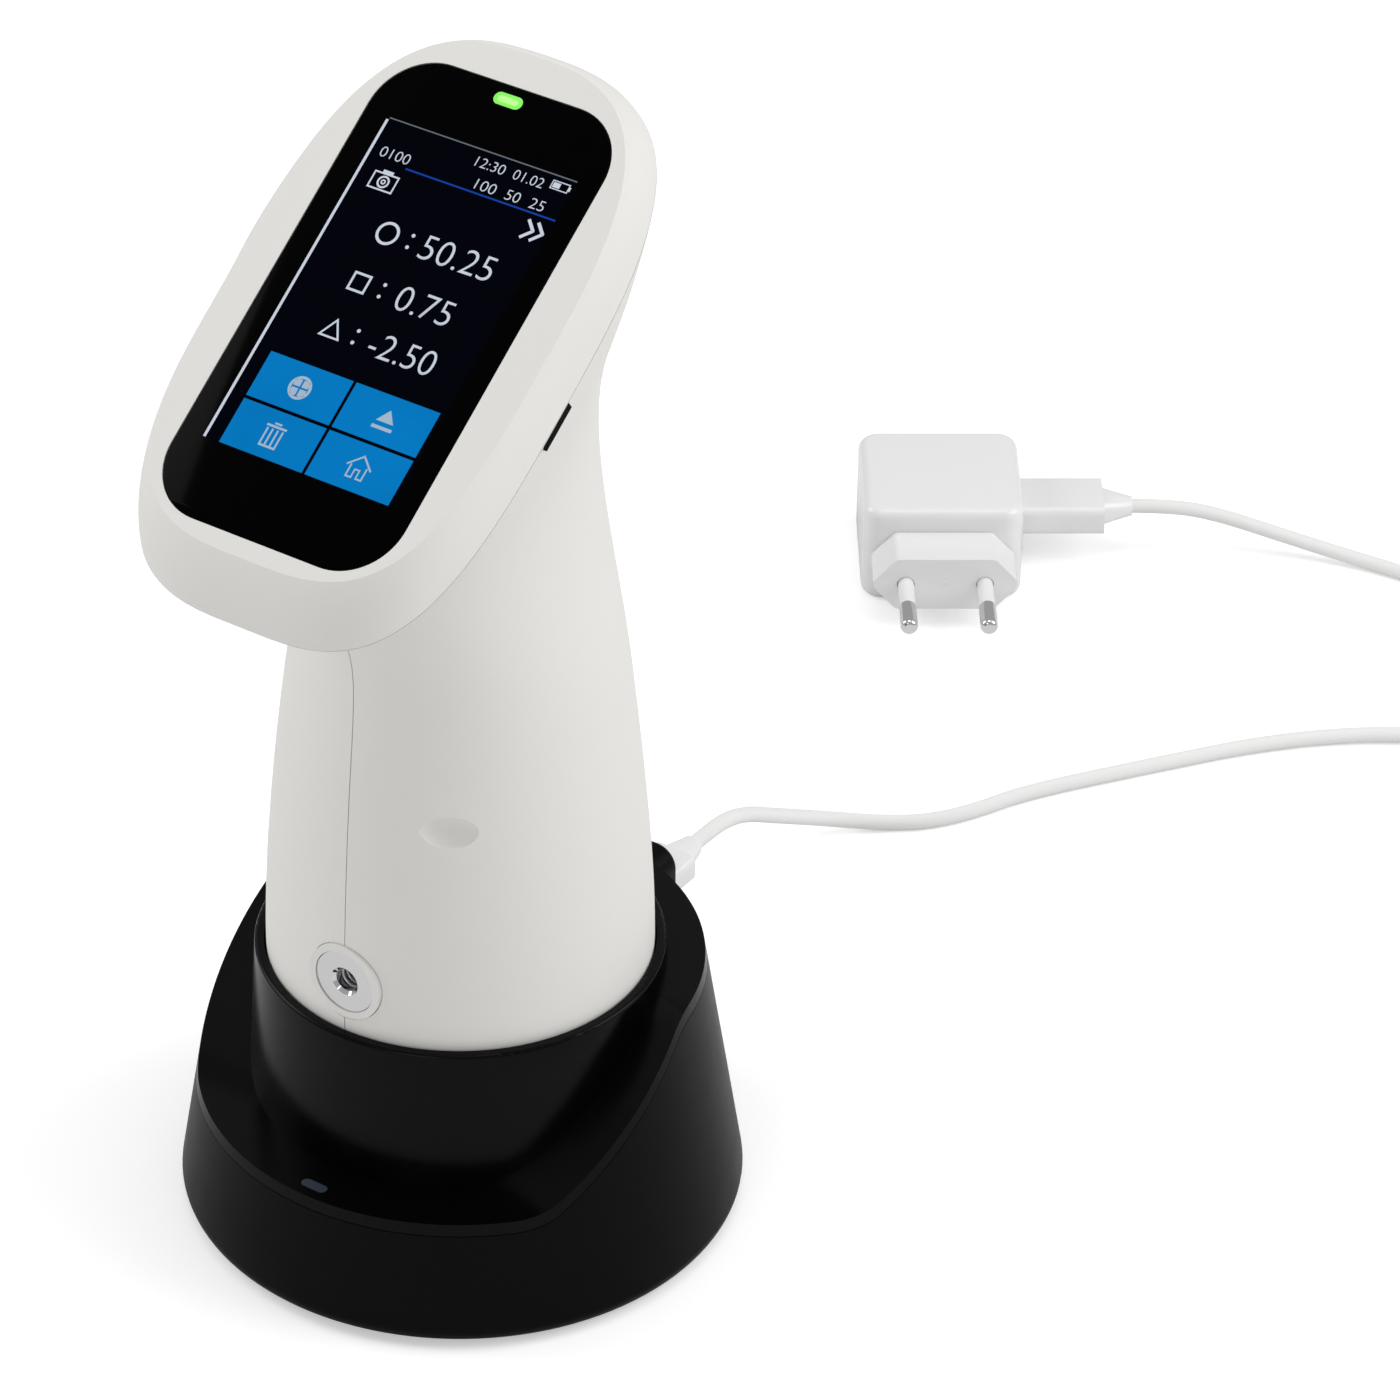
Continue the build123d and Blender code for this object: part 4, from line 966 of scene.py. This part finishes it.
@dataclass
class WallAdapter:
    """The white wall adapter with its two-pin head and the plug in its side.

    Args:
        origin: Middle of its underside in millimetres.
        turn: Turn about the vertical in degrees.
        middle: Height of the pins and of the plug.
        plug_end: Place along its own X where the lead leaves the plug.
        plug_side: Place of the plug along its own Y.
        front: Place of the pin face along its own Y.
        pieces: Pieces and nodes of the adapter, filled in when it is built.
    """

    origin: Point = (-45.0, 258.0, 0.0)
    turn: float = 35.0
    middle: float = 12.5
    plug_end: float = 46.3
    plug_side: float = 4.0
    front: float = -30.6
    pieces: list[bpy.types.Object | str] = field(default_factory=list)

    def place(self) -> Matrix:
        """Matrix from the adapter's own frame to the row frame, in millimetres."""
        return Matrix.Translation(self.origin) @ Matrix.Rotation(math.radians(self.turn), 4, "Z")

    def at(self, x: float, y: float, z: float) -> Point:
        """A point of the adapter's own frame in the row frame."""
        return tuple(self.place() @ Vector((x, y, z)))

    def mould_mark(self) -> bpy.types.Object:
        """Small raised ring between the pins."""
        bm = bmesh.new()
        rims = []
        for radius in (0.75, 0.5):
            made = bmesh.ops.create_circle(bm, cap_ends=False, radius=radius, segments=28)
            rims += dict.fromkeys(edge for vert in made["verts"] for edge in vert.link_edges)
        bmesh.ops.bridge_loops(bm, edges=rims)
        made = bmesh.ops.extrude_face_region(bm, geom=bm.faces[:])
        top = [item for item in made["geom"] if isinstance(item, bmesh.types.BMVert)]
        bmesh.ops.translate(bm, vec=(0, 0, 0.12), verts=top)
        bmesh.ops.recalc_face_normals(bm, faces=bm.faces)
        stand = Matrix.Translation((0, self.front + 0.02, self.middle))
        turn = Matrix.Rotation(math.radians(90), 4, "X")
        bm.transform(Matrix.Scale(MM, 4) @ self.place() @ stand @ turn)
        return rides(piece_from("mould_mark", bm, ADAPTER_WHITE), "base", "adapter_white")

    def build(self) -> None:
        """Smooth copies of the adapter's mouldings and its pins."""
        for node in ("adapter_body", "usb_a_grip"):
            self.pieces.append(refined(node, ADAPTER_WHITE, "base", "adapter_white"))
        for node, finish in (
            ("mains_plug_head", ADAPTER_WHITE),
            ("mains_pins", BRIGHT_STEEL),
            ("pin_sleeves", ADAPTER_WHITE),
            ("usb_a_shell", BRIGHT_STEEL),
        ):
            dress(node, finish)
            self.pieces.append(node)
        self.pieces.append(self.mould_mark())
        LOG.info("wall adapter")


@dataclass
class Studio:
    """Pale floor, soft lights and the camera at the photograph's angle.

    Args:
        azimuth: Turn of the camera round the object in degrees.
        elevation: Height angle of the camera in degrees.
        distance: Distance from the aim point in millimetres.
        aim: Aim point in millimetres.
        focal: Focal length in pixels of the photograph.
        picture: Side of the photograph in pixels.
        axis: Pixel on which the camera's axis falls.
        sensor: Sensor width in millimetres.
        surround: Strength of the surroundings, where the camera doesn't see them itself.
        floor_half: Half the side of the floor in metres.
        floor_grey: Grey of the floor's paint.
        floor_glow: Light that the floor adds in the camera's own view.
    """

    azimuth: float = 35.04
    elevation: float = 33.67
    distance: float = 1315.48
    aim: Point = (0.0, 31.31, 110.0)
    focal: float = 6466.69
    picture: float = 1400.0
    axis: tuple[float, float] = (548.56, 665.71)
    sensor: float = 36.0
    surround: float = 0.42
    floor_half: float = 6.0
    floor_grey: float = 0.82
    floor_glow: float = 0.40

    def camera(self) -> None:
        """Camera at the photograph's place and angle."""
        turn, rise = math.radians(self.azimuth), math.radians(self.elevation)
        level = math.cos(rise)
        back = Vector((math.sin(turn) * level, -math.cos(turn) * level, math.sin(rise)))
        lens = bpy.data.cameras.new("studio_camera")
        lens.sensor_width = self.sensor
        lens.lens = self.sensor * self.focal / self.picture
        lens.shift_x = (self.picture / 2 - self.axis[0]) / self.picture
        lens.shift_y = (self.axis[1] - self.picture / 2) / self.picture
        lens.clip_start, lens.clip_end = 0.05, 20.0
        camera = bpy.data.objects.new("studio_camera", lens)
        camera.location = (Vector(self.aim) + back * self.distance) * MM
        camera.rotation_mode = "QUATERNION"
        camera.rotation_quaternion = (-back).to_track_quat("-Z", "Y")
        bpy.context.scene.collection.objects.link(camera)
        bpy.context.scene.camera = camera

    @staticmethod
    def lamp(
        name: str, place: Point, size: float, power: float, aim: Point = (0.0, 0.0, 0.12)
    ) -> None:
        """A square soft lamp.

        Args:
            name: Name of the lamp.
            place: Place in metres.
            size: Side in metres.
            power: Power in watts.
            aim: Point that it looks at, in metres.
        """
        light = bpy.data.lights.new(name, "AREA")
        light.shape = "SQUARE"
        light.size = size
        light.energy = power
        lamp = bpy.data.objects.new(name, light)
        lamp.location = place
        lamp.rotation_mode = "QUATERNION"
        lamp.rotation_quaternion = (Vector(aim) - Vector(place)).to_track_quat("-Z", "Y")
        bpy.context.scene.collection.objects.link(lamp)

    @staticmethod
    def from_camera(nodes: bpy.types.Nodes) -> bpy.types.NodeSocket:
        """One where a ray comes straight from the camera, and nought elsewhere.

        Args:
            nodes: Node list.

        Returns:
            The socket that holds it.
        """
        return nodes.new("ShaderNodeLightPath").outputs["Is Camera Ray"]

    def world(self) -> None:
        """White surroundings that light the object softly."""
        world = bpy.data.worlds.new("studio")
        world.use_nodes = True
        nodes, links = world.node_tree.nodes, world.node_tree.links
        background = nodes["Background"]
        background.inputs["Color"].default_value = (1.0, 1.0, 1.0, 1.0)
        strength = nodes.new("ShaderNodeMapRange")
        strength.inputs["To Min"].default_value = self.surround
        strength.inputs["To Max"].default_value = 1.0
        links.new(self.from_camera(nodes), strength.inputs["Value"])
        links.new(strength.outputs["Result"], background.inputs["Strength"])
        bpy.context.scene.world = world

    def floor(self) -> None:
        """Large pale floor that keeps the shadow and fades to white."""
        bm = bmesh.new()
        bmesh.ops.create_grid(bm, x_segments=1, y_segments=1, size=self.floor_half)
        mesh = bpy.data.meshes.new("floor")
        bm.to_mesh(mesh)
        bm.free()
        floor = bpy.data.objects.new("floor", mesh)
        bpy.context.scene.collection.objects.link(floor)
        paint = bpy.data.materials.new("floor_paint")
        paint.use_nodes = True
        nodes, links = paint.node_tree.nodes, paint.node_tree.links
        nodes.remove(nodes["Principled BSDF"])
        matt = nodes.new("ShaderNodeBsdfDiffuse")
        matt.inputs["Color"].default_value = (*[self.floor_grey] * 3, 1.0)
        glow = nodes.new("ShaderNodeEmission")
        links.new(self.from_camera(nodes), glow.inputs["Strength"])
        glow.inputs["Color"].default_value = (*[self.floor_glow] * 3, 1.0)
        both = nodes.new("ShaderNodeAddShader")
        links.new(matt.outputs[0], both.inputs[0])
        links.new(glow.outputs[0], both.inputs[1])
        links.new(both.outputs[0], nodes["Material Output"].inputs["Surface"])
        mesh.materials.append(paint)

    def build(self) -> None:
        """Set up the whole studio."""
        self.camera()
        self.world()
        self.floor()
        self.lamp("right_lamp", (0.90, 0.55, 0.80), 0.9, 7.6)
        self.lamp("left_lamp", (-1.20, -0.30, 0.80), 0.8, 6.5)
        self.lamp("front_lamp", (0.30, -1.40, 0.70), 0.6, 2.6)
        self.lamp("top_lamp", (0.10, 0.00, 1.60), 0.9, 4.2)
        LOG.info("studio")


def main() -> None:
    """Build the studio and each sub-assembly in order."""
    logging.basicConfig(level=logging.INFO)
    scene = bpy.context.scene
    scene.view_settings.view_transform = "Standard"
    Studio().build()
    adapter = WallAdapter()
    adapter.build()
    Lead().build(adapter)
    Screen().build()
    Instrument().build()
    ChargingBase().build()
    bpy.context.view_layer.update()


if __name__ == "__main__":
    main()
